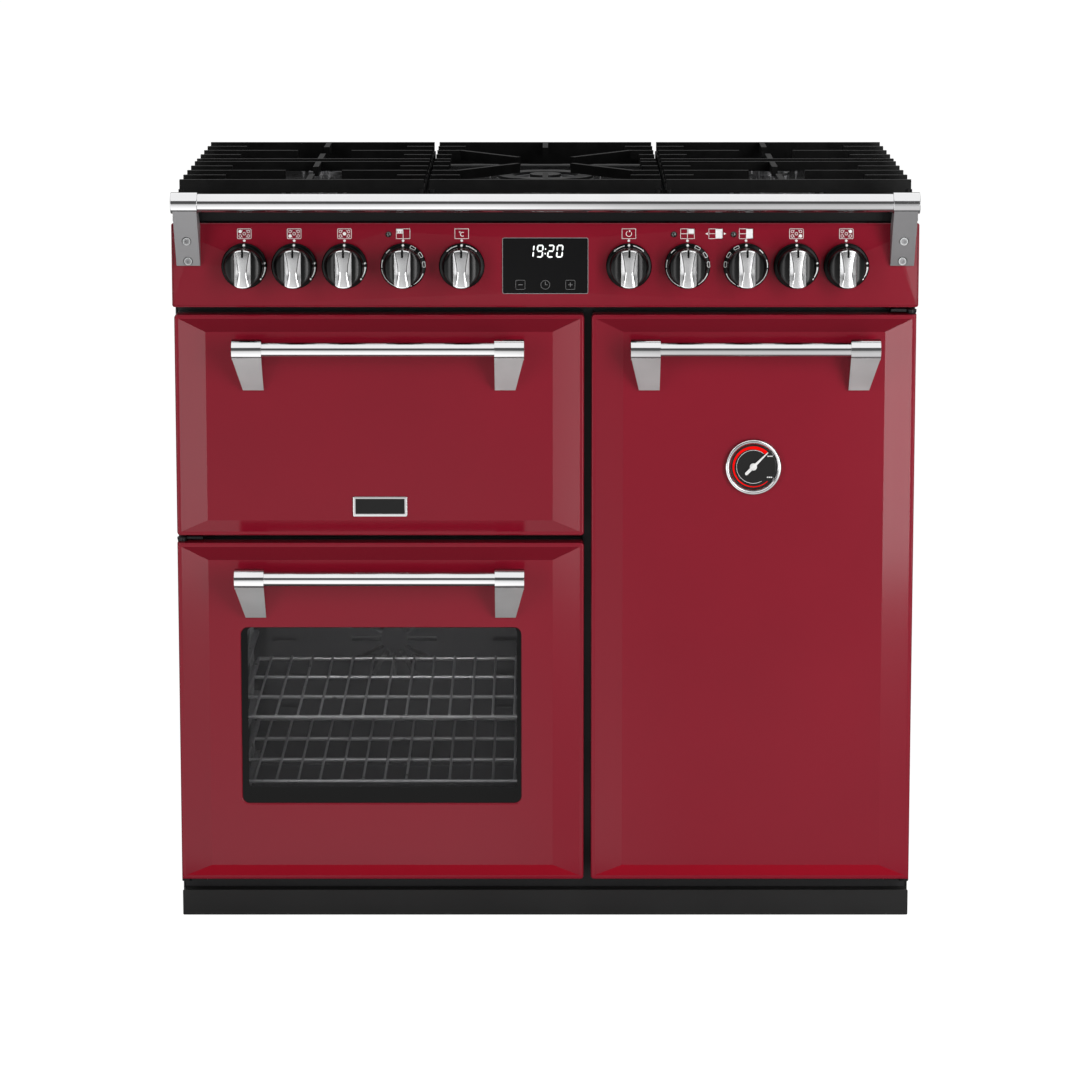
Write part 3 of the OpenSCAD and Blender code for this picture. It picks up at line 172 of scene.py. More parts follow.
MATERIALS = {
    "black_panels": surface("black_panels", (0.007, 0.007, 0.0075), 0.36, bump=0.1, bump_scale=900, ior=1.3),
    "zinc_steel": surface("zinc_steel", (0.42, 0.43, 0.44), 0.38, 1.0, vary=0.12, scale=30, bump=0.1),
    "black_enamel": surface("black_enamel", (0.0045, 0.0045, 0.005), 0.2, bump=0.04, bump_scale=250, ior=1.3),
    "grey_enamel": surface("grey_enamel", (0.055, 0.055, 0.058), 0.35, bump=0.1, speckle=0.06),
    "mineral_wool": surface("mineral_wool", (0.6, 0.55, 0.36), 0.95, vary=0.25, scale=120, bump=0.9,
                            stretch=(1, 1, 6)),
    "seal_rubber": surface("seal_rubber", (0.012, 0.012, 0.012), 0.7, vary=0.15, bump=0.2, ior=1.3),
    "chromed_wire": surface("chromed_wire", (0.42, 0.42, 0.43), 0.3, 0.55, vary=0.08, scale=60),
    "heater_steel": surface("heater_steel", (0.16, 0.14, 0.13), 0.5, 0.8, vary=0.4, scale=40, bump=0.2),
    "burner_alloy": surface("burner_alloy", (0.36, 0.36, 0.37), 0.36, 1.0, vary=0.15, scale=60, bump=0.25),
    "burner_enamel": surface("burner_enamel", (0.01, 0.01, 0.0105), 0.32, vary=0.2, bump=0.2, ior=1.35),
    "pipe_steel": surface("pipe_steel", (0.55, 0.53, 0.48), 0.4, 1.0, vary=0.15, scale=50),
    "brass": surface("brass", (0.6, 0.43, 0.16), 0.32, 1.0, vary=0.12, scale=60, bump=0.15),
    # A paler black than the enamel for the front frame: painted light in the shaded gaps between the control
    # panel and the doors.
    "frame_painted_light": surface("frame_painted_light", (0.02, 0.02, 0.021), 0.35, bump=0.05, ior=1.3),
    "plinth_enamel": surface("plinth_enamel", (0.016, 0.016, 0.016), 0.35, bump=0.1, ior=1.35),
    "red_enamel": surface("red_enamel", (0.215, 0.006, 0.018), 0.15, vary=0.03, scale=5, bump=0.015,
                          bump_scale=180, ior=1.27),
    "red_lip": surface("red_lip", (0.215, 0.006, 0.018), 0.1, vary=0.03, scale=5, ior=2.0),
    # Darker and paler copies of the red enamel for the doors' sloping borders: painted shade on the top
    # slopes, painted light on the bottom slopes of the doors near the floor.
    "red_downward": surface("red_downward", (0.32, 0.006, 0.018), 0.15, vary=0.03, scale=5, ior=1.15),
    "red_upward": surface("red_upward", (0.155, 0.0045, 0.013), 0.15, vary=0.03, scale=5, ior=1.12),
    "black_glass": surface("black_glass", (0.003, 0.003, 0.0033), 0.06, vary=0.1, rough_vary=0.1, ior=1.22),
    "control_plastic": surface("control_plastic", (0.03, 0.03, 0.03), 0.55, bump=0.3, bump_scale=1200),
    "chrome_trim": surface("chrome_trim", (0.5, 0.5, 0.505), 0.08, 1.0, vary=0.02, scale=20),
    "door_glass": surface("door_glass", (0.06, 0.06, 0.062), 0.03, vary=0.1, alpha=0.1, ior=1.2),
    "pointer_paint": surface("pointer_paint", (0.72, 0.72, 0.71), 0.4, vary=0.03),
    "fan_steel": surface("fan_steel", (0.42, 0.42, 0.42), 0.4, 1.0, vary=0.15, scale=60, bump=0.1),
    "cast_iron": surface("cast_iron", (0.004, 0.004, 0.004), 0.34, vary=0.2, scale=60, bump=0.25,
                         bump_scale=1500, ior=1.2),
    "knob_black": surface("knob_black", (0.003, 0.003, 0.003), 0.2, vary=0.1, bump=0.02, ior=1.3),
    "knob_grip": surface("knob_grip", (0.62, 0.62, 0.625), 0.24, 1.0, vary=0.03, scale=60),
    # A darker metal for the grip's crease faces: painted shade for the dark lines along the grip.
    "knob_crease": surface("knob_crease", (0.1, 0.1, 0.1), 0.35, 1.0, vary=0.05, scale=60),
    "knob_skirt": surface("knob_skirt", (0.0022, 0.0022, 0.0022), 0.16, vary=0.1, ior=1.16),
    "print_grey": surface("print_grey", (0.13, 0.13, 0.13), 0.5, vary=0.03, scale=40),
    "satin_steel": surface("satin_steel", (0.24, 0.24, 0.245), 0.45, 0.6, vary=0.04, scale=30, bump=0.05),
    "handle_end": surface("handle_end", (0.56, 0.575, 0.575), 0.42, 0.6, vary=0.03, scale=30),
    # A paler iron for the tops of the pan supports' middle bars: a painted reflection.
    "ground_iron": surface("ground_iron", (0.42, 0.42, 0.42), 0.5, 0.3, vary=0.12, scale=60, bump=0.1),
    "badge_field": surface("badge_field", (0.005, 0.005, 0.005), 0.3, vary=0.1, ior=1.3),
    "print_white": surface("print_white", (0.84, 0.84, 0.84), 0.5, vary=0.03, scale=40),
    "lamp_lens": surface("lamp_lens", (0.012, 0.014, 0.012), 0.12, vary=0.1, coat=0.3),
    "dial_red": surface("dial_red", (0.78, 0.003, 0.002), 0.5, vary=0.04, ior=1.1),
    "dial_black": surface("dial_black", (0.012, 0.012, 0.012), 0.5, vary=0.1, bump=0.05, ior=1.2),
    "frit": surface("frit", (0.003, 0.003, 0.003), 0.12, vary=0.1, ior=1.17),
}


def glowing(name, colour, strength):
    """A finish that gives its own light."""
    m, nodes, links, bsdf = new_material(name)
    tex = noise(nodes, links, 90.0, 1.0)
    level = nodes.new("ShaderNodeMapRange")
    level.inputs["To Min"].default_value = strength * 0.95
    level.inputs["To Max"].default_value = strength * 1.05
    links.new(tex.outputs["Fac"], level.inputs["Value"])
    links.new(level.outputs["Result"], bsdf.inputs["Emission Strength"])
    bsdf.inputs["Base Color"].default_value = (*colour, 1)
    bsdf.inputs["Emission Color"].default_value = (*colour, 1)
    bsdf.inputs["Roughness"].default_value = 0.3
    return m


MATERIALS["digits"] = glowing("digits", (0.88, 0.92, 0.9), 0.55)

SLOT_OF = {s["node"]: s["material_slot"] for s in frame["record"]["subparts"]}
# The front frame takes the paler black, painted light; every other node takes its own slot.
for node, obj in frame["nodes"].items():
    obj.data.materials.clear()
    obj.data.materials.append(MATERIALS["frame_painted_light" if node == "front_frame" else SLOT_OF[node]])


# ---------------------------------------------------------------- mesh helpers
def piece(name, mesh, material, body, slot=None, smooth=40, stands_for=(), sharp=None, weighted=False):
    """A new object that rides on a body, with smooth shading up to an angle in degrees."""
    obj = bpy.data.objects.new(name, mesh)
    bpy.context.scene.collection.objects.link(obj)
    for m in material if isinstance(material, (list, tuple)) else [material]:
        obj.data.materials.append(MATERIALS[m])
    if smooth:
        mesh.shade_smooth()
        mesh.set_sharp_from_angle(angle=math.radians(smooth))
    if sharp:
        for edge in mesh.edges:
            if sharp(mesh.vertices[edge.vertices[0]].co, mesh.vertices[edge.vertices[1]].co):
                edge.use_edge_sharp = True
    if weighted:
        even = obj.modifiers.new("even_normals", "WEIGHTED_NORMAL")
        even.keep_sharp = True
    first = material[0] if isinstance(material, (list, tuple)) else material
    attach(obj, body)
    if slot or first in SLOT_OF.values():
        slot or first
    if stands_for:
        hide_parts(*stands_for)
    return obj


def mesh_of(name, build):
    """A mesh filled by build(bm), with its faces turned outward."""
    bm = bmesh.new()
    build(bm)
    bmesh.ops.remove_doubles(bm, verts=bm.verts, dist=1e-6)
    bmesh.ops.recalc_face_normals(bm, faces=bm.faces)
    mesh = bpy.data.meshes.new(name)
    bm.to_mesh(mesh)
    bm.free()
    return mesh


def rings(bm, loops, close=True):
    """Joins rings of equal count into a skin, closes its two ends, and returns the faces."""
    verts = [[bm.verts.new(p) for p in loop] for loop in loops]
    count = len(verts[0])
    faces = []
    for a, b in zip(verts, verts[1:]):
        for i in range(count):
            j = (i + 1) % count
            faces.append(bm.faces.new((a[i], a[j], b[j], b[i])))
    if close:
        faces.append(bm.faces.new(verts[0]))
        faces.append(bm.faces.new(list(reversed(verts[-1]))))
    return faces


def turned(bm, centre, profile, count, close=True):
    """A solid turned about Y through centre: profile is a list of (radius, y offset)."""
    loops = []
    for r, y in profile:
        loops.append([Vector((centre.x + r * math.cos(a), centre.y + y, centre.z + r * math.sin(a)))
                      for a in (2 * math.pi * i / count for i in range(count))])
    rings(bm, loops, close)


def rounded(w, h, r, steps=5):
    """The outline of a rectangle with round corners, as (x, z) pairs."""
    out = []
    for cx, cz, start in ((w / 2 - r, h / 2 - r, 0), (-w / 2 + r, h / 2 - r, 90),
                          (-w / 2 + r, -h / 2 + r, 180), (w / 2 - r, -h / 2 + r, 270)):
        for i in range(steps + 1):
            a = math.radians(start + 90 * i / steps)
            out.append((cx + r * math.cos(a), cz + r * math.sin(a)))
    return out


def flat(bm, outline, y0, y1, centre):
    """A thin plate from an outline of (x, z) pairs, between two depths."""
    rings(bm, [[Vector((centre.x + x, y, centre.z + z)) for x, z in outline] for y in (y0, y1)])


def band(bm, outer, inner, y0, y1, centre):
    """A closed frame between two outlines of equal count."""
    def loop(points, y):
        return [bm.verts.new((centre.x + x, y, centre.z + z)) for x, z in points]
    o0, o1, i0, i1 = loop(outer, y0), loop(outer, y1), loop(inner, y0), loop(inner, y1)
    count = len(outer)
    for i in range(count):
        j = (i + 1) % count
        for quad in ((o0[i], o0[j], o1[j], o1[i]), (i0[j], i0[i], i1[i], i1[j]),
                     (o0[j], o0[i], i0[i], i0[j]), (o1[i], o1[j], i1[j], i1[i])):
            bm.faces.new(quad)


def softened(node, width, segments=3, smooth=35, material=None, angle=28, keep=None, sharp=None, pick=None):
    """A copy of a CAD node with its sharp edges rounded, which stands for the node."""
    bm = bmesh.new()
    bm.from_mesh(frame["nodes"][node].data)
    bmesh.ops.remove_doubles(bm, verts=bm.verts, dist=2e-6)
    bmesh.ops.dissolve_limit(bm, angle_limit=math.radians(0.6), verts=bm.verts, edges=bm.edges)
    edges = [e for e in bm.edges if len(e.link_faces) == 2
             and e.calc_face_angle(0) > math.radians(angle) and (keep is None or keep(e))]
    bmesh.ops.bevel(bm, geom=edges, offset=width, offset_type="OFFSET", segments=segments,
                    profile=0.5, affect="EDGES", clamp_overlap=True, loop_slide=True)
    bmesh.ops.recalc_face_normals(bm, faces=bm.faces)
    if pick:
        for face in bm.faces:
            face.material_index = pick(face)
    mesh = bpy.data.meshes.new(node + "_soft")
    bm.to_mesh(mesh)
    bm.free()
    return piece(node + "_soft", mesh, material or SLOT_OF[node],
                 frame["nodes"][node]["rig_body"], slot=SLOT_OF[node], smooth=smooth,
                 stands_for=[node], sharp=sharp, weighted=True)


# ---------------------------------------------------------------- doors and control panel
def side_distance(node):
    """How far a point lies inside a node's outline, seen from the front."""
    low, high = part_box(node)
    return lambda p: min(p.x - low.x, high.x - p.x, p.z - low.z, high.z - p.z)


def door_edges(node):
    """The edges of a door to round, and those to keep crisp: its sloping border's."""
    inside = side_distance(node)

    def at_window(p):
        return (node == "lower_door_panel" and abs(p.y - FRONT + FIELD) < FLUSH
                and WINDOW_LOW.x < p.x < WINDOW_HIGH.x and WINDOW_LOW.z < p.z < WINDOW_HIGH.z)

    def round_it(edge):
        ends = [v.co for v in edge.verts]
        outline = all(abs(p.y - FRONT) < FLUSH and inside(p) < 4.5 * MM for p in ends)
        return outline or all(at_window(p) for p in ends)

    def crisp(a, b):
        if any(at_window(p) or abs(inside(p)) < 4.4 * MM for p in (a, b)):
            return False
        lip = all(abs(p.y - FRONT) < FLUSH and inside(p) < 5.6 * MM for p in (a, b))
        return lip or all(p.y < FRONT + FLUSH for p in (a, b))
    return round_it, crisp


def door_faces(node):
    """Picks a door's upright lips, 1, its top slopes, 2, for a darker red as painted shade, and the downward
    slopes of doors near the floor, 3, for a paler red as painted light.
    """
    inside = side_distance(node)
    near_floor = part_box(node)[0].z < 0.1

    def pick(face):
        across = [v.co.x for v in face.verts]
        if max(across) - min(across) < 8 * MM and all(
                abs(v.co.y - FRONT) < FLUSH and 2.2 * MM < inside(v.co) < 5.4 * MM for v in face.verts):
            return 1
        if face.normal.y > -0.7 or face.calc_area() < 1e-3:
            return 0
        return 2 if face.normal.z > 0.25 else 3 if face.normal.z < -0.25 and near_floor else 0
    return pick


# The top slopes take the darker red, painted shade; the bottom slopes near the floor take the paler red,
# painted light.
for door in ("upper_door_panel", "lower_door_panel", "tall_door_panel"):
    rounds, crisp = door_edges(door)
    softened(door, 2.4 * MM, 4, angle=20, keep=rounds, sharp=crisp, pick=door_faces(door),
             material=["red_enamel", "red_lip", "red_upward", "red_downward"])


def loft(bm, loops):
    """Joins rings of equal count with an open skin, and returns their vertices."""
    verts = [[bm.verts.new(p) for p in loop] for loop in loops]
    count = len(verts[0])
    for a, b in zip(verts, verts[1:]):
        for i in range(count):
            j = (i + 1) % count
            bm.faces.new((a[i], a[j], b[j], b[i]))
    return verts


def ring_edges(bm, verts):
    """The edges between the vertices of a closed ring."""
    return [bm.edges.get((a, b)) for a, b in zip(verts, verts[1:] + verts[:1])]


def facia():
    """The control panel: a folded skin with rolled front edges and its cut-outs."""
    low, high = FACIA_LOW, FACIA_HIGH
    w, h, sheet, roll, corner = high.x - low.x, high.z - low.z, 2 * MM, 1.6 * MM, 3 * MM
    c = Vector(((low.x + high.x) / 2, 0, (low.z + high.z) / 2))

    def loop(inset, y):
        r = max(corner - inset, 0.9 * MM)
        return [Vector((c.x + x, FRONT + y, c.z + z)) for x, z in rounded(w - 2 * inset, h - 2 * inset, r, 6)]

    holes = []
    for node in KNOBS:
        k = middle(node)
        holes.append(shift(dot(7 * MM, count=28), k.x, k.z))
    for x in LAMP_X:
        holes.append(shift(dot(3.7 * MM, count=20), x, LAMP_Z))
    holes.append(shift(rounded(102.6 * MM, 67.1 * MM, 3 * MM), 0, CLOCK_Z))
    for x in BOLT_X:
        for z in BOLT_Z:
            holes.append(shift(dot(3.2 * MM, count=18), x, z))

    def build(bm):
        turn = [(roll * (1 - math.sin(t)), roll * (1 - math.cos(t)))
                for t in (math.radians(a) for a in (90, 72, 54, 36, 18, 0))]
        outer = loft(bm, [loop(0, high.y - FRONT)] + [loop(inset, y) for inset, y in reversed(turn)])
        inner = loft(bm, [loop(sheet, high.y - FRONT), loop(sheet, sheet)])
        count = len(outer[0])
        for i in range(count):
            j = (i + 1) % count
            bm.faces.new((outer[0][i], outer[0][j], inner[0][j], inner[0][i]))
        walls = [loft(bm, [[Vector((x, FRONT + y, z)) for x, z in hole] for y in (0, sheet)])
                 for hole in holes]
        for rim, level in ((outer[-1], 0), (inner[-1], 1)):
            edges = ring_edges(bm, rim)
            for wall in walls:
                edges += ring_edges(bm, wall[level])
            bmesh.ops.triangle_fill(bm, use_beauty=True, use_dissolve=False, edges=edges,
                                    normal=(0, -1, 0))
    piece("facia_skin", mesh_of("facia", build), "red_enamel", "cooker", smooth=35, stands_for=["facia"],
          weighted=True)


for node, axis in HANDLE_AXES.items():
    foot = axis - 10 * MM
    softened(node, 0.9 * MM, material=["chrome_trim", "handle_end"],
             pick=lambda face: 1 if face.calc_center_median().z < foot and face.normal.y < 0.3 else 0)
for node, width in (("towel_rail", 0.9), ("hob_top", 1.2), ("burner_caps", 0.8), ("outer_panels", 0.5),
                    ("levelling_feet", 0.6)):
    softened(node, width * MM)
softened("plinth", 0.6 * MM, material="plinth_enamel")


def spine_top(node):
    """Picks the tops of the bars that run to the back in a pan support's middle, which take a paler iron as a
    painted reflection.
    """
    side = {"pan_support_left": -1, "pan_support_middle": 0, "pan_support_right": 1}[node]
    x = side * BURNER_X
    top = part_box(node)[1].z

    def pick(face):
        narrow = all(abs(v.co.x - x) < 4 * MM for v in face.verts)
        return 1 if narrow and face.normal.z > 0.95 and face.calc_center_median().z > top - 2 * MM else 0
    return pick


for node in ("pan_support_left", "pan_support_middle", "pan_support_right"):
    softened(node, 0.8 * MM, material=["cast_iron", "ground_iron"], pick=spine_top(node))
softened("rail_brackets", 0.7 * MM, material="satin_steel")


def bolt_rings_painted_highlight():
    """A raised rim on the head of each bolt that holds a rail bracket, in a paler metal than the bracket:
    partly a real rim, partly a painted highlight for the bright ring round each head.
    """
    points = [v.co for v in frame["nodes"]["rail_brackets"].data.vertices]
    profile = [(r * MM, y * MM) for r, y in ((4.7, 0.2), (4.7, -0.5), (4.4, -0.9), (3.8, -0.9), (3.4, -0.4),
                                             (3.4, 0.2), (4.7, 0.2))]

    def build(bm):
        for x in BOLT_X:
            for z in BOLT_Z:
                head = min(p.y for p in points if math.hypot(p.x - x, p.z - z) < 5.2 * MM)
                turned(bm, Vector((x, head, z)), profile, 32, close=False)
    piece("bolt_rims_painted_highlight", mesh_of("bolt_rims_painted_highlight", build), "handle_end", "cooker", slot="chrome_trim")


bolt_rings_painted_highlight()


# ---------------------------------------------------------------- knobs
BARREL, GRIP, SKIRT, CREASE_PAINTED_SHADE = range(4)
KNOB_LOOK = ["knob_black", "knob_grip", "knob_skirt", "knob_crease"]


def knob_mesh(centre, stem_end):
    """A knob: a turned skirt, a barrel with sloping shoulders, and a waisted grip bar."""
    half = GRIP_W / 2
    back, face, front = -4 * MM, SKIRT_FACE - FRONT, BARREL_FACE - FRONT
    count, skirt_rings = 72, 9
    reach = BARREL_R - 0.2 * MM

    def crown(t):
        ends = 0.5 * MM * max(0, (abs(t) - 0.95) / 0.05) ** 2
        return front - 12 * MM + (0.8 if t > 0 else 0.3) * MM * t ** 4 + ends

    def shoulder(x):
        return 4.2 * MM * max(0, abs(x) - half + 1 * MM) ** 2 / (BARREL_R - half) ** 2

    def build(bm):
        c = Vector((centre.x, FRONT, centre.z))
        profile = [(4 * MM, stem_end - FRONT, 0), (4 * MM, back, 0), (24 * MM, back, 0),
                   (SKIRT_R - 1 * MM, back, 0), (SKIRT_R, back - 1 * MM, 0), (SKIRT_R, face + 1.4 * MM, 0),
                   (SKIRT_R - 0.5 * MM, face + 0.5 * MM, 0), (SKIRT_R - 1.5 * MM, face, 0),
                   (BARREL_R + 0.7 * MM, face, 0), (BARREL_R, face - 0.6 * MM, 0),
                   (BARREL_R - 0.2 * MM, front + 1.6 * MM, 1), (BARREL_R - 0.7 * MM, front + 0.6 * MM, 1),
                   (BARREL_R - 1.7 * MM, front + 0.1 * MM, 1), (BARREL_R - 4 * MM, front - 0.1 * MM, 1),
                   (BARREL_R * 0.66, front - 0.2 * MM, 1), (BARREL_R * 0.5, front - 0.3 * MM, 1),
                   (BARREL_R * 0.3, front - 0.3 * MM, 1), (0.5 * MM, front - 0.3 * MM, 1)]
        loops = []
        for r, y, sloped in profile:
            loop = []
            for i in range(count):
                a = 2 * math.pi * i / count
                x = r * math.cos(a)
                loop.append(c + Vector((x, y + sloped * shoulder(x), r * math.sin(a))))
            loops.append(loop)
        for k, part in enumerate(rings(bm, loops)):
            part.material_index = SKIRT if k < skirt_rings * count else BARREL
        spots = [-1, -0.98, -0.95] + [i / 15 - 0.933 for i in range(29)] + [0.95, 0.98, 1]
        loops = []
        for t in spots:
            y = crown(t)
            waist = half * (0.45 + 0.3 * max(0, t + 0.2) ** 1.6 + 0.25 * max(0, -0.3 - t))
            step = (0.4 + 0.9 * min(1, (t + 1) / 1.2)) * MM
            foot, rim = waist + 0.9 * MM, half - 0.35 * MM
            edge = y + 0.25 * MM + step + 0.53 * max(0, rim - foot)
            side = [(waist * 0.6, y + 0.05 * MM), (waist, y + 0.25 * MM), (foot, y + 0.25 * MM + step),
                    (max(rim, foot + 0.05 * MM), edge), (max(half, foot + 0.1 * MM), edge + 0.6 * MM)]
            line = [(-x, sy) for x, sy in reversed(side)] + [(0, y)] + side
            line = [(x, sy, t * math.sqrt(reach ** 2 - x ** 2)) for x, sy in line]
            under = [(x, front + 5 * MM, z) for x, sy, z in reversed(line)]
            loops.append([c + Vector(p) for p in line + under])
        rings(bm, loops, close=False)
        bm.faces.ensure_lookup_table()
        bm.verts.ensure_lookup_table()
        across = len(line)
        strips = len(spots) - 1
        # The crease faces take the darker metal, painted shade; the rest is bright grip metal.
        for k, quad in enumerate(bm.faces[-strips * 2 * across:]):
            t, i = spots[k // (2 * across)], k % (2 * across)
            if i < across - 1:
                quad.material_index = CREASE_PAINTED_SHADE if i in (2, across - 4) and t > -0.6 else GRIP
        first = len(bm.verts) - len(spots) * 2 * across
        for start in (first, len(bm.verts) - 2 * across):
            for i in range(across - 1):
                j = 2 * across - 1 - i
                bm.faces.new([bm.verts[start + k] for k in (i, i + 1, j - 1, j)])
        loops = []
        for i in range(11):
            t = 0.6 + 0.405 * i / 10
            w = 1.3 * MM if i else 0.7 * MM
            y = crown(t) - 0.14 * MM
            loops.append([c + Vector((x, py, reach * t))
                          for x, py in ((-w, y), (w, y), (w, y + 2 * MM), (-w, y + 2 * MM))])
        rings(bm, loops)
    return mesh_of("knob", build)


def skirt_mark(bm, c, angle, draw):
    """Draws a mark at a clockwise angle on a knob's skirt: draw works in (x, z) about the mark."""
    turn = Matrix.Rotation(math.radians(angle), 3, "Y")
    for outline in draw:
        points = []
        for x, z in outline:
            p = turn @ Vector((x, 0, z))
            points.append((p.x, p.z))
        flat(bm, points, SKIRT_FACE - PRINT, SKIRT_FACE + ROOT, c)


def dot(r, z=0.0, x=0.0, count=14):
    """The outline of a round spot."""
    return [(x + r * math.cos(2 * math.pi * i / count), z + r * math.sin(2 * math.pi * i / count))
            for i in range(count)]


def arc_outline(r, width, a0, a1, taper=1.0, steps=24):
    """A curved stroke about the knob's middle, from a0 to a1 degrees clockwise from the top."""
    outer, inner = [], []
    for i in range(steps + 1):
        t = i / steps
        a = math.radians(a0 + (a1 - a0) * t)
        w = width * (1 + (taper - 1) * t) / 2
        outer.append(((r + w) * math.sin(a), (r + w) * math.cos(a)))
        inner.append(((r - w) * math.sin(a), (r - w) * math.cos(a)))
    return outer + list(reversed(inner))


def ring_mark(bm, c, angle, w, h, line):
    """A small rounded frame on the skirt."""
    turn = Matrix.Rotation(math.radians(angle), 3, "Y")

    def place(points):
        out = []
        for x, z in points:
            p = turn @ Vector((x, 0, z + MARK_R))
            out.append((p.x, p.z))
        return out
    band(bm, place(rounded(w, h, 1.2 * MM, 3)), place(rounded(w - 2 * line, h - 2 * line, 0.7 * MM, 3)),
         SKIRT_FACE - PRINT, SKIRT_FACE + ROOT, c)


def knob_marks(kind):
    """Draws the marks round a kind of knob: a dot at the top, and its flame, arrows or stages."""
    def build(bm, c):
        skirt_mark(bm, c, 0, [dot(1.5 * MM, MARK_R)])
        if kind == "gas":
            flame = [(-1.7, 0), (0, 1.6), (0.6, 0.2), (1.6, -0.4), (0, -1.5)]
            skirt_mark(bm, c, 82, [[(x * MM, MARK_R + z * MM) for x, z in flame]])
            skirt_mark(bm, c, 0, [arc_outline(MARK_R, 2.0 * MM, 92, 122, 0.4)])
            skirt_mark(bm, c, 128, [dot(1.1 * MM, MARK_R)])
        elif kind == "degrees":
            for side in (-1, 1):
                skirt_mark(bm, c, 0, [arc_outline(MARK_R, 0.9 * MM, side * 12, side * 42, 1.0)])
                tip = [(-1.2, 1.1), (-1.2, -1.1), (1.6, 0)]
                if side < 0:
                    tip = [(1.2, 1.1), (-1.6, 0), (1.2, -1.1)]
                skirt_mark(bm, c, side * 43, [[(x * MM, MARK_R + z * MM) for x, z in tip]])
        else:
            way = -1 if kind == "tall" else 1
            for a in (28, 57, 85):
                ring_mark(bm, c, way * a, 7.2 * MM, 3.6 * MM, 0.6 * MM)
            for out, width, start, end, taper in ((0.3, 1.2, 110, 150, 0.4), (0.5, 0.6, 155, 262, 1.0),
                                                  (0.3, 1.0, 266, 288, 1.0), (0.3, 1.0, 308, 322, 1.0)):
                skirt_mark(bm, c, 0, [arc_outline(MARK_R + out * MM, width * MM,
                                                  way * start, way * end, taper)])
    return build


KNOBS = {f"gas_knob_{k}": "gas" for k in range(1, 6)}
KNOBS.update(oven_knob_1="grill", oven_knob_2="degrees", oven_knob_3="degrees", oven_knob_4="oven",
             oven_knob_5="tall")
for node, kind in KNOBS.items():
    c = middle(node)
    piece(node + "_look", knob_mesh(c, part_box(node)[1].y), KNOB_LOOK, node,
          slot="knob_black", smooth=42, stands_for=[node])
    marks = knob_marks(kind)
    piece(node + "_marks", mesh_of("marks", lambda bm: marks(bm, c)), "print_white", node,
          slot="knob_black", smooth=0)


# ---------------------------------------------------------------- printed symbols
ICON_Z = 857.2 * MM
ICON_W, ICON_H = 17 * MM, 12.4 * MM


def rectangle(x0, x1, z0, z1):
    """The outline of a rectangle with sharp corners."""
    return [(x0, z0), (x1, z0), (x1, z1), (x0, z1)]


def icon_frame(bm, c, r=0.4 * MM, line=0.5 * MM):
    """The frame round a symbol on the control panel."""
    band(bm, rounded(ICON_W, ICON_H, r, 3),
         rounded(ICON_W - 2 * line, ICON_H - 2 * line, max(r - line, 0.1 * MM), 3),
         FRONT - PRINT, FRONT + ROOT, c)


def shape(bm, c, outline):
    """A filled shape printed on the control panel."""
    flat(bm, outline, FRONT - PRINT, FRONT + ROOT, c)


def shift(outline, x, z):
    """An outline moved by x and z."""
    return [(px + x, pz + z) for px, pz in outline]


def ring(bm, c, x, z, r, line):
    """A round line printed on the control panel."""
    band(bm, shift(dot(r, count=20), x, z), shift(dot(r - line, count=20), x, z),
         FRONT - PRINT, FRONT + ROOT, c)


def burner_icon(filled):
    """The five burners of the hob, with one of them filled."""
    places = [(-4.9, 2.7), (-4.9, -2.7), (0, 0), (4.9, 2.7), (4.9, -2.7)]

    def build(bm, c):
        icon_frame(bm, c, r=1.3 * MM)
        for i, (x, z) in enumerate(places):
            x, z = x * MM, z * MM
            if i == filled:
                shape(bm, c, shift(dot(2.1 * MM, count=20), x, z))
            else:
                ring(bm, c, x, z, 1.9 * MM, 0.55 * MM)
        for side in (-1, 1):
            for corner in (((2.1, 4.4), (3.2, 1.9), (2.6, 4.6)), ((2.1, -4.4), (2.6, -4.6), (3.2, -1.9))):
                shape(bm, c, [(side * x * MM, z * MM) for x, z in corner])
    return build


def grill_icon(bm, c):
    icon_frame(bm, c)
    w, h = ICON_W / 2, ICON_H / 2
    shape(bm, c, rectangle(-0.3 * MM, 0.3 * MM, -h, h))
    top = [rectangle(-w, 0, 2.6 * MM, h), rectangle(-w, 0, 1.0 * MM, 1.7 * MM)]
    for i in range(4):
        x = -w + i * 2.83 * MM - 0.6 * MM
        top.append(rectangle(max(x, -w), x + 1.3 * MM, 1.6 * MM, 2.7 * MM))
    for part in top:
        shape(bm, c, part)
    shape(bm, c, rectangle(-w, 0, 0.3 * MM, 0.9 * MM))


def main_icon(bm, c):
    icon_frame(bm, c)
    w, h = ICON_W / 2, ICON_H / 2
    shape(bm, c, rectangle(-0.3 * MM, 0.3 * MM, -h, h))
    shape(bm, c, rectangle(-w, 0, -0.3 * MM, 0.3 * MM))
    shape(bm, c, rectangle(0.9 * MM, w, 0.6 * MM, h))
    shape(bm, c, rectangle(0.3 * MM, w, -0.3 * MM, 0.3 * MM))


def both_icon(bm, c):
    icon_frame(bm, c)
    w, h = ICON_W / 2, ICON_H / 2
    shape(bm, c, rectangle(-w, 0, -0.2 * MM, 0.3 * MM))
    shape(bm, c, rectangle(-0.3 * MM, w, -h, h))
    for side in (-1, 1):
        shape(bm, c, [(side * (w + 1.1 * MM), -1.4 * MM), (side * (w + 1.1 * MM), 1.4 * MM),
                      (side * (w + 4 * MM), 0)])


def tall_icon(bm, c):
    icon_frame(bm, c)
    w, h = ICON_W / 2, ICON_H / 2
    shape(bm, c, rectangle(-w, 0, -0.3 * MM, 0.3 * MM))
    shape(bm, c, rectangle(0, w, -h, h))


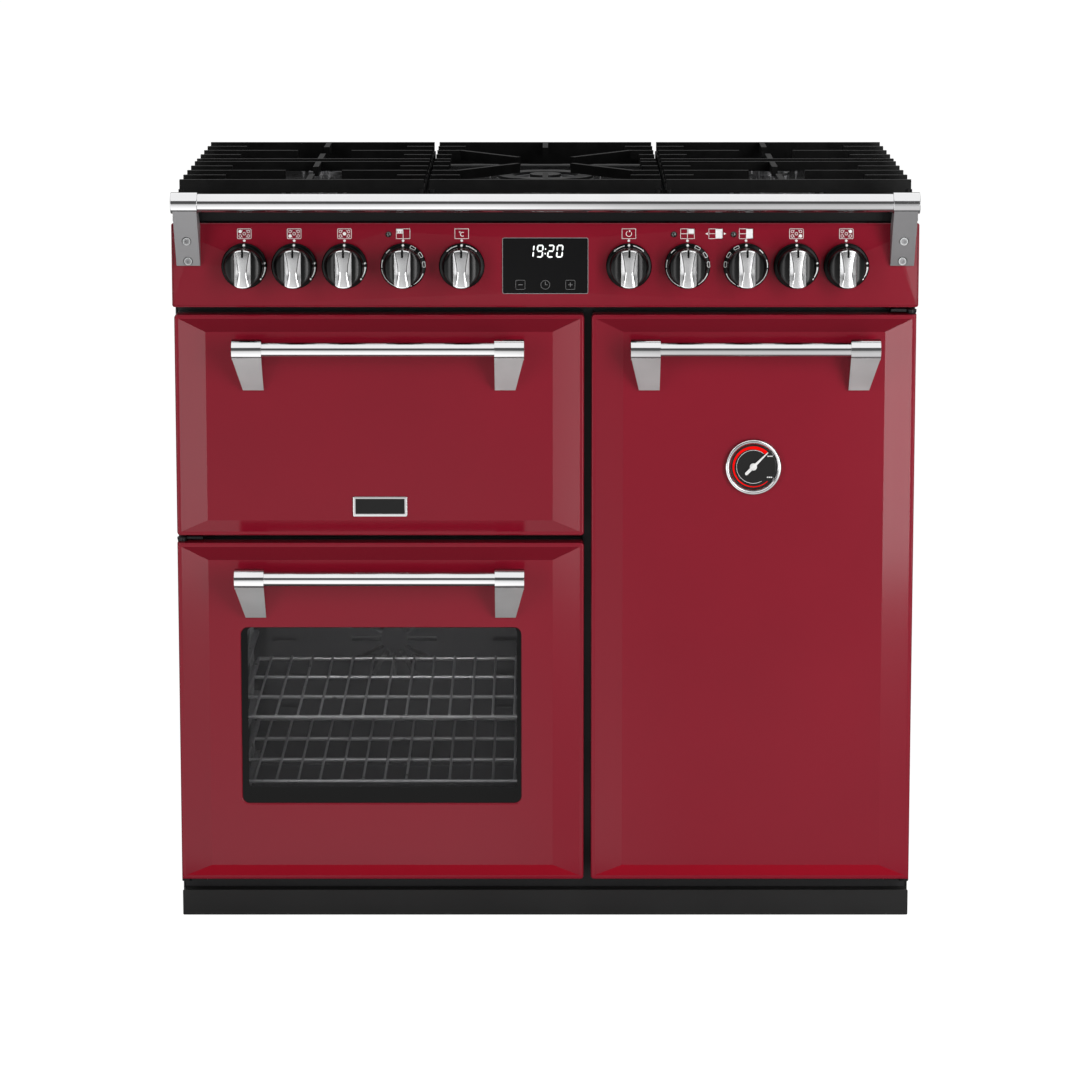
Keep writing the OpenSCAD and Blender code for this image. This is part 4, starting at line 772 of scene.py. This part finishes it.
def degree_icon(bm, c):
    icon_frame(bm, c)
    ring(bm, c, -2.4 * MM, 2.0 * MM, 0.95 * MM, 0.45 * MM)
    shape(bm, c, shift(arc_outline(2.4 * MM, 0.8 * MM, 40, -220), 0.9 * MM, -0.6 * MM))


def timer_icon(bm, c):
    icon_frame(bm, c)
    shape(bm, c, arc_outline(3.3 * MM, 0.7 * MM, 60, 330))
    shape(bm, c, [(0.2 * MM, 4.6 * MM), (0.2 * MM, 1.8 * MM), (2.6 * MM, 3.2 * MM)])


ICONS = {"gas_knob_1": burner_icon(0), "gas_knob_2": burner_icon(1), "gas_knob_3": burner_icon(2),
         "oven_knob_1": grill_icon, "oven_knob_2": degree_icon, "oven_knob_3": timer_icon,
         "oven_knob_4": main_icon, "oven_knob_5": tall_icon,
         "gas_knob_4": burner_icon(4), "gas_knob_5": burner_icon(3)}


def symbols(bm):
    """A symbol and a dot above every knob, and one more between two oven knobs."""
    for node, draw in ICONS.items():
        c = Vector((middle(node).x, 0, ICON_Z))
        draw(bm, c)
        shape(bm, c, shift(dot(1.6 * MM, count=18), 0, -8.4 * MM))
    both_icon(bm, Vector((205 * MM, 0, ICON_Z)))


facia()
piece("panel_symbols", mesh_of("symbols", symbols), "print_white", "cooker", slot="red_enamel", smooth=0)


# ---------------------------------------------------------------- clock
GLASS_FACE = FRONT - 0.8 * MM
GLASS_PRINT = (GLASS_FACE - 0.1 * MM, GLASS_FACE + 0.1 * MM)
DIGIT_W, DIGIT_H, STROKE = 8.0 * MM, 15.6 * MM, 1.7 * MM
SEGMENTS = {"0": "abcdef", "1": "bc", "2": "abged", "9": "abcdfg"}


def segment(name):
    """The outline of one of a digit's seven strokes, named a to g as usual."""
    w, h, s, g = DIGIT_W / 2, DIGIT_H / 2, STROKE / 2, 0.25 * MM
    across = [(-w + s + g, 0), (-w + 2 * s, s), (w - 2 * s, s),
              (w - s - g, 0), (w - 2 * s, -s), (-w + 2 * s, -s)]
    up = [(0, g + s * 0.4), (s, 2 * s), (s, h - 2 * s), (0, h - s - g), (-s, h - 2 * s), (-s, 2 * s)]
    if name == "a":
        return shift(across, 0, h - s)
    if name == "d":
        return shift(across, 0, -h + s)
    if name == "g":
        return across
    x = w - s if name in "bc" else -w + s
    return shift(up if name in "bf" else [(px, -pz) for px, pz in reversed(up)], x, 0)


def digits(bm):
    """The time, in leaning digits with a colon of two dots."""
    slant = 0.09
    y0, y1 = GLASS_PRINT
    centre = Vector((0.2 * MM, 0, FACIA_LOW.z + 68.2 * MM))
    for text, x in (("1", -17.6), ("9", -6.6), ("2", 6.4), ("0", 17.2)):
        for s in SEGMENTS[text]:
            flat(bm, [(px + x * MM + pz * slant, pz) for px, pz in segment(s)], y0, y1, centre)
    for z in (-3, 2.6):
        flat(bm, shift(dot(0.9 * MM, count=12), -0.1 * MM + z * MM * slant, z * MM), y0, y1, centre)


def touch_symbols(bm):
    """A minus and a plus in rounded squares, and a clock face between them."""
    y0, y1 = GLASS_PRINT
    over = y0 - 0.01 * MM               # a stroke that crosses another lies a little higher
    z = FACIA_LOW.z + 27.5 * MM
    for x in (-30, 30.2):
        c = Vector((x * MM, 0, z))
        band(bm, rounded(11.6 * MM, 11.6 * MM, 1.4 * MM, 3), rounded(10.7 * MM, 10.7 * MM, 1.0 * MM, 3),
             y0, y1, c)
        flat(bm, rectangle(-2.6 * MM, 2.6 * MM, -0.4 * MM, 0.4 * MM), y0, y1, c)
        if x > 0:
            flat(bm, rectangle(-0.4 * MM, 0.4 * MM, -2.6 * MM, 2.6 * MM), over, y1, c)
    c = Vector((0, 0, z))
    band(bm, dot(5.6 * MM, count=40), dot(5.1 * MM, count=40), y0, y1, c)
    flat(bm, rectangle(-0.35 * MM, 0.35 * MM, -0.3 * MM, 3.8 * MM), y0, y1, c)
    flat(bm, rectangle(-0.3 * MM, 2.8 * MM, -0.35 * MM, 0.35 * MM), over, y1, c)


def clock_frame(bm):
    """The thin bright frame round the clock's glass."""
    c = Vector((0, 0, CLOCK_Z))
    band(bm, rounded(103.4 * MM, 68.0 * MM, 2.2 * MM), rounded(102.2 * MM, 66.8 * MM, 1.7 * MM),
         FRONT - 1.0 * MM, FRONT + 0.2 * MM, c)


piece("clock_digits", mesh_of("digits", digits), "digits", "cooker", slot="black_glass", smooth=0)
piece("clock_touch_symbols", mesh_of("touch", touch_symbols), "print_grey", "cooker",
      slot="black_glass", smooth=0)
piece("clock_frame", mesh_of("clock_frame", clock_frame), "satin_steel", "cooker",
      slot="chrome_trim", smooth=0)


def lamps(bm):
    """The domed lenses of the indicator lamps."""
    dome = [(3.6, 0.5), (3.7, -0.6), (3.5, -1.5), (3.0, -2.3), (2.0, -2.9), (0.3, -3.2)]
    for x in LAMP_X:
        turned(bm, Vector((x, FRONT, LAMP_Z)), [(r * MM, y * MM) for r, y in dome], 32)


piece("indicator_lamps", mesh_of("lamps", lamps), "lamp_lens", "cooker", slot="black_glass")


# ---------------------------------------------------------------- gauge
def gauge():
    """The round gauge: its case and bezel, the printed dial and the hand."""
    low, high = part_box("gauge_case")
    c = Vector(((low.x + high.x) / 2, low.y, (low.z + high.z) / 2))
    r = (high.x - low.x) / 2
    printed = (c.y + 4.9 * MM, c.y + 5.3 * MM)

    def case(bm):
        out = FRONT - FIELD - low.y
        stem = [(3 * MM, high.y - low.y), (3 * MM, 22 * MM), (r - 8 * MM, 22 * MM), (r - 8 * MM, out + 1 * MM),
                (r - 0.8 * MM, out), (r, out - 1 * MM), (r, 3 * MM)]
        bezel = [(0.3, 1.2), (0.9, 0.5), (1.8, 0.2), (3.1, 0), (3.7, 0.3), (4.8, 1.5), (5.8, 3.1), (6.5, 4.6),
                 (6.6, 5.6)]
        turned(bm, c, stem + [(r - inset * MM, y * MM) for inset, y in bezel] + [(0.5 * MM, 5.6 * MM)], 96)

    def dial(bm):
        turned(bm, c, [(r - 6.7 * MM, 5.7 * MM), (r - 6.7 * MM, 5.2 * MM), (0.5 * MM, 5.2 * MM)], 96)

    def scale(bm):
        outer, inner, rim, steps = [], [], 25.2 * MM, 60
        for i in range(steps + 1):
            t = i / steps
            a = math.radians(136 + 267 * t)
            w = (1.0 + 3.6 * t ** 1.5) * MM
            outer.append((rim * math.sin(a), rim * math.cos(a)))
            inner.append(((rim - w) * math.sin(a), (rim - w) * math.cos(a)))
        flat(bm, outer + list(reversed(inner)), *printed, c)

    def ticks(bm):
        for x, z in ((20.4, 13.0), (20.0, -12.8)):
            for i in range(3):
                left, right = (x - 3.4 + i * 2.3) * MM, (x - 1.8 + i * 2.3) * MM
                flat(bm, rectangle(left, right, (z - 0.65) * MM, (z + 0.65) * MM), *printed, c)
        flat(bm, arc_outline(20.3 * MM, 0.35 * MM, 150, 396, steps=60), *printed, c)

    piece("gauge_bezel", mesh_of("bezel", case), "chrome_trim", "tall_door", stands_for=["gauge_case"])
    piece("gauge_dial", mesh_of("dial", dial), "dial_black", "tall_door", slot="chrome_trim")
    piece("gauge_scale", mesh_of("scale", scale), "dial_red", "tall_door", slot="chrome_trim", smooth=0)
    piece("gauge_ticks", mesh_of("ticks", ticks), "print_white", "tall_door", slot="chrome_trim", smooth=0)

    def pointer(bm):
        y0, y1 = c.y + 3.4 * MM, c.y + 4.6 * MM
        hub = [(4.4 * MM, 1.4 * MM), (4.4 * MM, 0.2 * MM), (3.6 * MM, -0.5 * MM), (0.4 * MM, -0.8 * MM)]
        turned(bm, Vector((c.x, y0, c.z)), hub, 32)
        turn = Matrix.Rotation(math.radians(45), 3, "Y")
        outline = []
        for x, z in [(-1.8, 0), (-1.8, -11.8), (-1.3, -13), (-0.5, -13.5), (0.5, -13.5), (1.3, -13),
                     (1.8, -11.8), (1.8, 0), (0.4, 25), (-0.4, 25)]:
            p = turn @ Vector((x * MM, 0, z * MM))
            outline.append((p.x, p.z))
        flat(bm, outline, y0 + 0.2 * MM, y1, Vector((c.x, 0, c.z)))
    piece("gauge_hand", mesh_of("hand", pointer), "pointer_paint", "gauge_pointer",
          stands_for=["gauge_pointer"])


gauge()


# ---------------------------------------------------------------- badge plate
def badge():
    """A bare plate: a bright frame round a dark, sunk field."""
    low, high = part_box("badge_plate")
    c = Vector(((low.x + high.x) / 2, 0, (low.z + high.z) / 2))
    w, h, line, edge = high.x - low.x, high.z - low.z, 3.2 * MM, 0.5 * MM

    def build(bm):
        def loop(inset, y, r):
            return [Vector((c.x + x, y, c.z + z)) for x, z in rounded(w - 2 * inset, h - 2 * inset, r, 4)]
        front = low.y
        loft_loops = [loop(0, high.y, 1.2 * MM), loop(0, front + edge, 1.2 * MM),
                      loop(0.15 * MM, front + 0.15 * MM, 1.1 * MM), loop(edge, front, 0.9 * MM),
                      loop(line - edge, front, 0.5 * MM), loop(line, front + edge, 0.3 * MM),
                      loop(line, front + 1.1 * MM, 0.3 * MM)]
        verts = loft(bm, loft_loops)
        bm.faces.new(verts[0])
        bm.faces.new(list(reversed(verts[-1]))).material_index = 1
    piece("badge_frame", mesh_of("badge", build), ["chrome_trim", "badge_field"], "upper_door",
          slot="chrome_trim", smooth=30, stands_for=["badge_plate"], weighted=True)


badge()


# ---------------------------------------------------------------- window
def window_border():
    """The dark printed edge of the outer pane: narrow at the sides and broad below."""
    low, high = WINDOW_LOW, WINDOW_HIGH
    c = Vector(((low.x + high.x) / 2, 0, (low.z + high.z) / 2))
    w, h = high.x - low.x, high.z - low.z
    left, right, top, bottom = 18 * MM, 15 * MM, 10.2 * MM, 30 * MM

    def build(bm):
        inner = rounded(w - left - right, h - top - bottom, 5 * MM)
        inner = shift(inner, (left - right) / 2, (bottom - top) / 2)
        band(bm, rounded(w - 4 * MM, h - 4 * MM, 9 * MM), inner, low.y - 0.1 * MM, low.y + 0.15 * MM, c)
    piece("window_border", mesh_of("border", build), "frit", "lower_door", slot="door_glass", smooth=0)


window_border()


# ---------------------------------------------------------------- camera, floor and light
PHOTO_PX, SENSOR = 1080, 36
CAMERA = (1.3 * MM, FRONT - 5071.1 * MM, 1434.2 * MM)
CAMERA_TILT, FOCAL_PX = 0.16512, 4238.6
WORLD_LEVEL = 0.8
CEILING_LEVEL = 1.7
# (Z of the direction, level): what mirrors show of the room, and the light that falls on things
MIRRORED_ROOM = ((-1, 0.1), (0, 0.1), (0.42, 0.06), (0.49, 1), (1, 1))
ROOM_LIGHT = ((-1, 0.9), (0, 1.1), (0.25, 0.85), (0.5, 0.35), (1, 0.12))
FLOOR_SHADOW = 0.3
FLOOR_GLOW = 0.96
# What mirrors show of the floor: its level at distances ahead of the cooker, on its left and its right, dark
# within 0.2 m of the cooker as a painted shadow
FLOOR_REACH = 12.0
FLOOR_TOP = 2.4
FLOOR_LEVELS = (((0, 0.1), (0.2, 0.1), (0.27, 2.1), (1.2, 1.6), (4.0, 1.0),
                 (7.0, 0.75), (9.2, 0.6), (9.8, 0.05)),
                ((0, 0.1), (0.2, 0.1), (0.27, 1.0), (2.0, 0.85), (4.4, 0.65),
                 (7.0, 0.6), (9.2, 0.5), (9.8, 0.05)))


def look():
    """The camera at the photograph's viewing angle."""
    data = bpy.data.cameras.new("camera")
    data.sensor_width = SENSOR
    data.lens = FOCAL_PX / PHOTO_PX * SENSOR
    data.shift_x = -0.0059
    data.shift_y = -0.08
    data.clip_end = 50
    cam = bpy.data.objects.new("camera", data)
    cam.location = CAMERA
    cam.rotation_euler = (math.pi / 2 - CAMERA_TILT, 0, 0)
    bpy.context.scene.collection.objects.link(cam)
    bpy.context.scene.camera = cam


def softbox(name, place, target, size, power):
    """A rectangular lamp at a place, turned towards a target."""
    data = bpy.data.lights.new(name, "AREA")
    data.shape = "RECTANGLE"
    data.size, data.size_y = size
    data.energy = power
    obj = bpy.data.objects.new(name, data)
    obj.location = place
    obj.rotation_euler = (Vector(target) - Vector(place)).to_track_quat("-Z", "Y").to_euler()
    bpy.context.scene.collection.objects.link(obj)


def grey(level):
    """An opaque grey."""
    return (level, level, level, 1)


def coordinate(nodes, links, kind, axis):
    """One axis of a kind of texture coordinate."""
    split = nodes.new("ShaderNodeSeparateXYZ")
    links.new(nodes.new("ShaderNodeTexCoord").outputs[kind], split.inputs[0])
    return split.outputs[axis]


def share(nodes, links, value, start, end):
    """How far a value has gone from start, 0, to end, 1."""
    node = nodes.new("ShaderNodeMapRange")
    node.inputs["From Min"].default_value = start
    node.inputs["From Max"].default_value = end
    links.new(value, node.inputs["Value"])
    return node.outputs["Result"]


def levels(nodes, links, value, stops):
    """A grey level that follows a value from 0 to 1: stops are (value, level) pairs."""
    ramp = nodes.new("ShaderNodeValToRGB")
    links.new(value, ramp.inputs["Fac"])
    elements = ramp.color_ramp.elements
    for stop, (place, level) in zip(elements, (stops[0], stops[-1])):
        stop.position, stop.color = place, grey(level)
    for place, level in stops[1:-1]:
        elements.new(place).color = grey(level)
    return ramp.outputs["Color"]


def worked_out(nodes, links, operation, first, second):
    """The result of a math node: first is an output, and second an output or a number."""
    node = nodes.new("ShaderNodeMath")
    node.operation = operation
    links.new(first, node.inputs[0])
    if isinstance(second, float):
        node.inputs[1].default_value = second
    else:
        links.new(second, node.inputs[1])
    return node.outputs[0]


def seen_directly(nodes, links):
    """1 where the camera, a mirror or clear glass looks, and 0 for the light that falls on things."""
    path = nodes.new("ShaderNodeLightPath")
    total = path.outputs["Is Camera Ray"]
    for name in ("Is Glossy Ray", "Is Transmission Ray"):
        total = worked_out(nodes, links, "MAXIMUM", total, path.outputs[name])
    return total, path.outputs["Is Camera Ray"]


def world():
    """The room: white to the camera, dark low down to mirrors, and a soft light on things."""
    w = bpy.data.worlds.new("studio")
    bpy.context.scene.world = w
    w.use_nodes = True
    nodes, links = w.node_tree.nodes, w.node_tree.links
    nodes.clear()
    out = nodes.new("ShaderNodeOutputWorld")
    seen = nodes.new("ShaderNodeBackground")
    light = nodes.new("ShaderNodeBackground")
    height = share(nodes, links, coordinate(nodes, links, "Generated", "Z"), -1, 1)
    mirrored, lit = (levels(nodes, links, height, [((z + 1) / 2, level) for z, level in stops])
                     for stops in (MIRRORED_ROOM, ROOM_LIGHT))
    total, camera_ray = seen_directly(nodes, links)
    bright = colour_mix(nodes, "MULTIPLY")
    bright.inputs[MIX_B].default_value = grey(CEILING_LEVEL)
    links.new(mirrored, bright.inputs[MIX_A])
    plain = colour_mix(nodes)
    plain.inputs[MIX_B].default_value = grey(1)
    links.new(camera_ray, plain.inputs[0])
    links.new(bright.outputs[MIX_OUT], plain.inputs[MIX_A])
    links.new(plain.outputs[MIX_OUT], seen.inputs["Color"])
    links.new(lit, light.inputs["Color"])
    light.inputs["Strength"].default_value = WORLD_LEVEL
    mix = nodes.new("ShaderNodeMixShader")
    for i, source in enumerate((total, light.outputs[0], seen.outputs[0])):
        links.new(source, mix.inputs[i])
    links.new(mix.outputs[0], out.inputs[0])


def floor():
    """A plain pale floor, which glows evenly to the camera and by FLOOR_LEVELS to mirrors, where it is
    darkened close to the cooker as a painted shadow.
    """
    corners = ((-40, -30, 0), (40, -30, 0), (40, 40, 0), (-40, 40, 0))
    mesh = mesh_of("floor", lambda bm: bm.faces.new([bm.verts.new(p) for p in corners]))
    obj = bpy.data.objects.new("floor", mesh)
    bpy.context.scene.collection.objects.link(obj)
    m, nodes, links, bsdf = new_material("floor")
    tex = noise(nodes, links, 3.0, 2.0)
    tint = levels(nodes, links, tex.outputs["Fac"], ((0, 0.84), (1, 0.86)))
    total, camera_ray = seen_directly(nodes, links)
    paint = colour_mix(nodes)
    paint.inputs[MIX_B].default_value = grey(FLOOR_SHADOW)
    links.new(total, paint.inputs[0])
    links.new(tint, paint.inputs[MIX_A])
    links.new(paint.outputs[MIX_OUT], bsdf.inputs["Base Color"])
    ahead = share(nodes, links, coordinate(nodes, links, "Object", "Y"), FRONT, FRONT - FLOOR_REACH)
    both = colour_mix(nodes)
    links.new(share(nodes, links, coordinate(nodes, links, "Object", "X"), -0.1, 0.2), both.inputs[0])
    for socket, stops in zip((MIX_A, MIX_B), FLOOR_LEVELS):
        places = [(distance / FLOOR_REACH, level / FLOOR_TOP) for distance, level in stops]
        links.new(levels(nodes, links, ahead, places), both.inputs[socket])
    choose = nodes.new("ShaderNodeMix")
    links.new(camera_ray, choose.inputs[0])
    links.new(worked_out(nodes, links, "MULTIPLY", both.outputs[MIX_OUT], FLOOR_TOP), choose.inputs[2])
    choose.inputs[3].default_value = FLOOR_GLOW
    glow = worked_out(nodes, links, "MULTIPLY", total, choose.outputs[0])
    links.new(glow, bsdf.inputs["Emission Strength"])
    bsdf.inputs["Emission Color"].default_value = grey(1)
    bsdf.inputs["Roughness"].default_value = 0.9
    bsdf.inputs["Specular IOR Level"].default_value = 0
    obj.data.materials.append(m)


look()
world()
floor()
softbox("right_outer", (1.28, -2.0, 0.95), (1.28, 0, 0.95), (0.45, 1.8), 23)
softbox("right_inner", (0.88, -2.0, 0.95), (0.88, 0, 0.95), (0.35, 1.8), 8)
softbox("left", (-1.25, -2.0, 0.95), (-1.25, 0, 0.95), (0.6, 1.8), 13)
softbox("oven_lamp", (-0.2005, FRONT + 70 * MM, 0.44), (-0.2005, 0.12, 0.2), (0.3, 0.03), 0.35)

bpy.context.scene.view_settings.view_transform = "Standard"
bpy.context.view_layer.update()
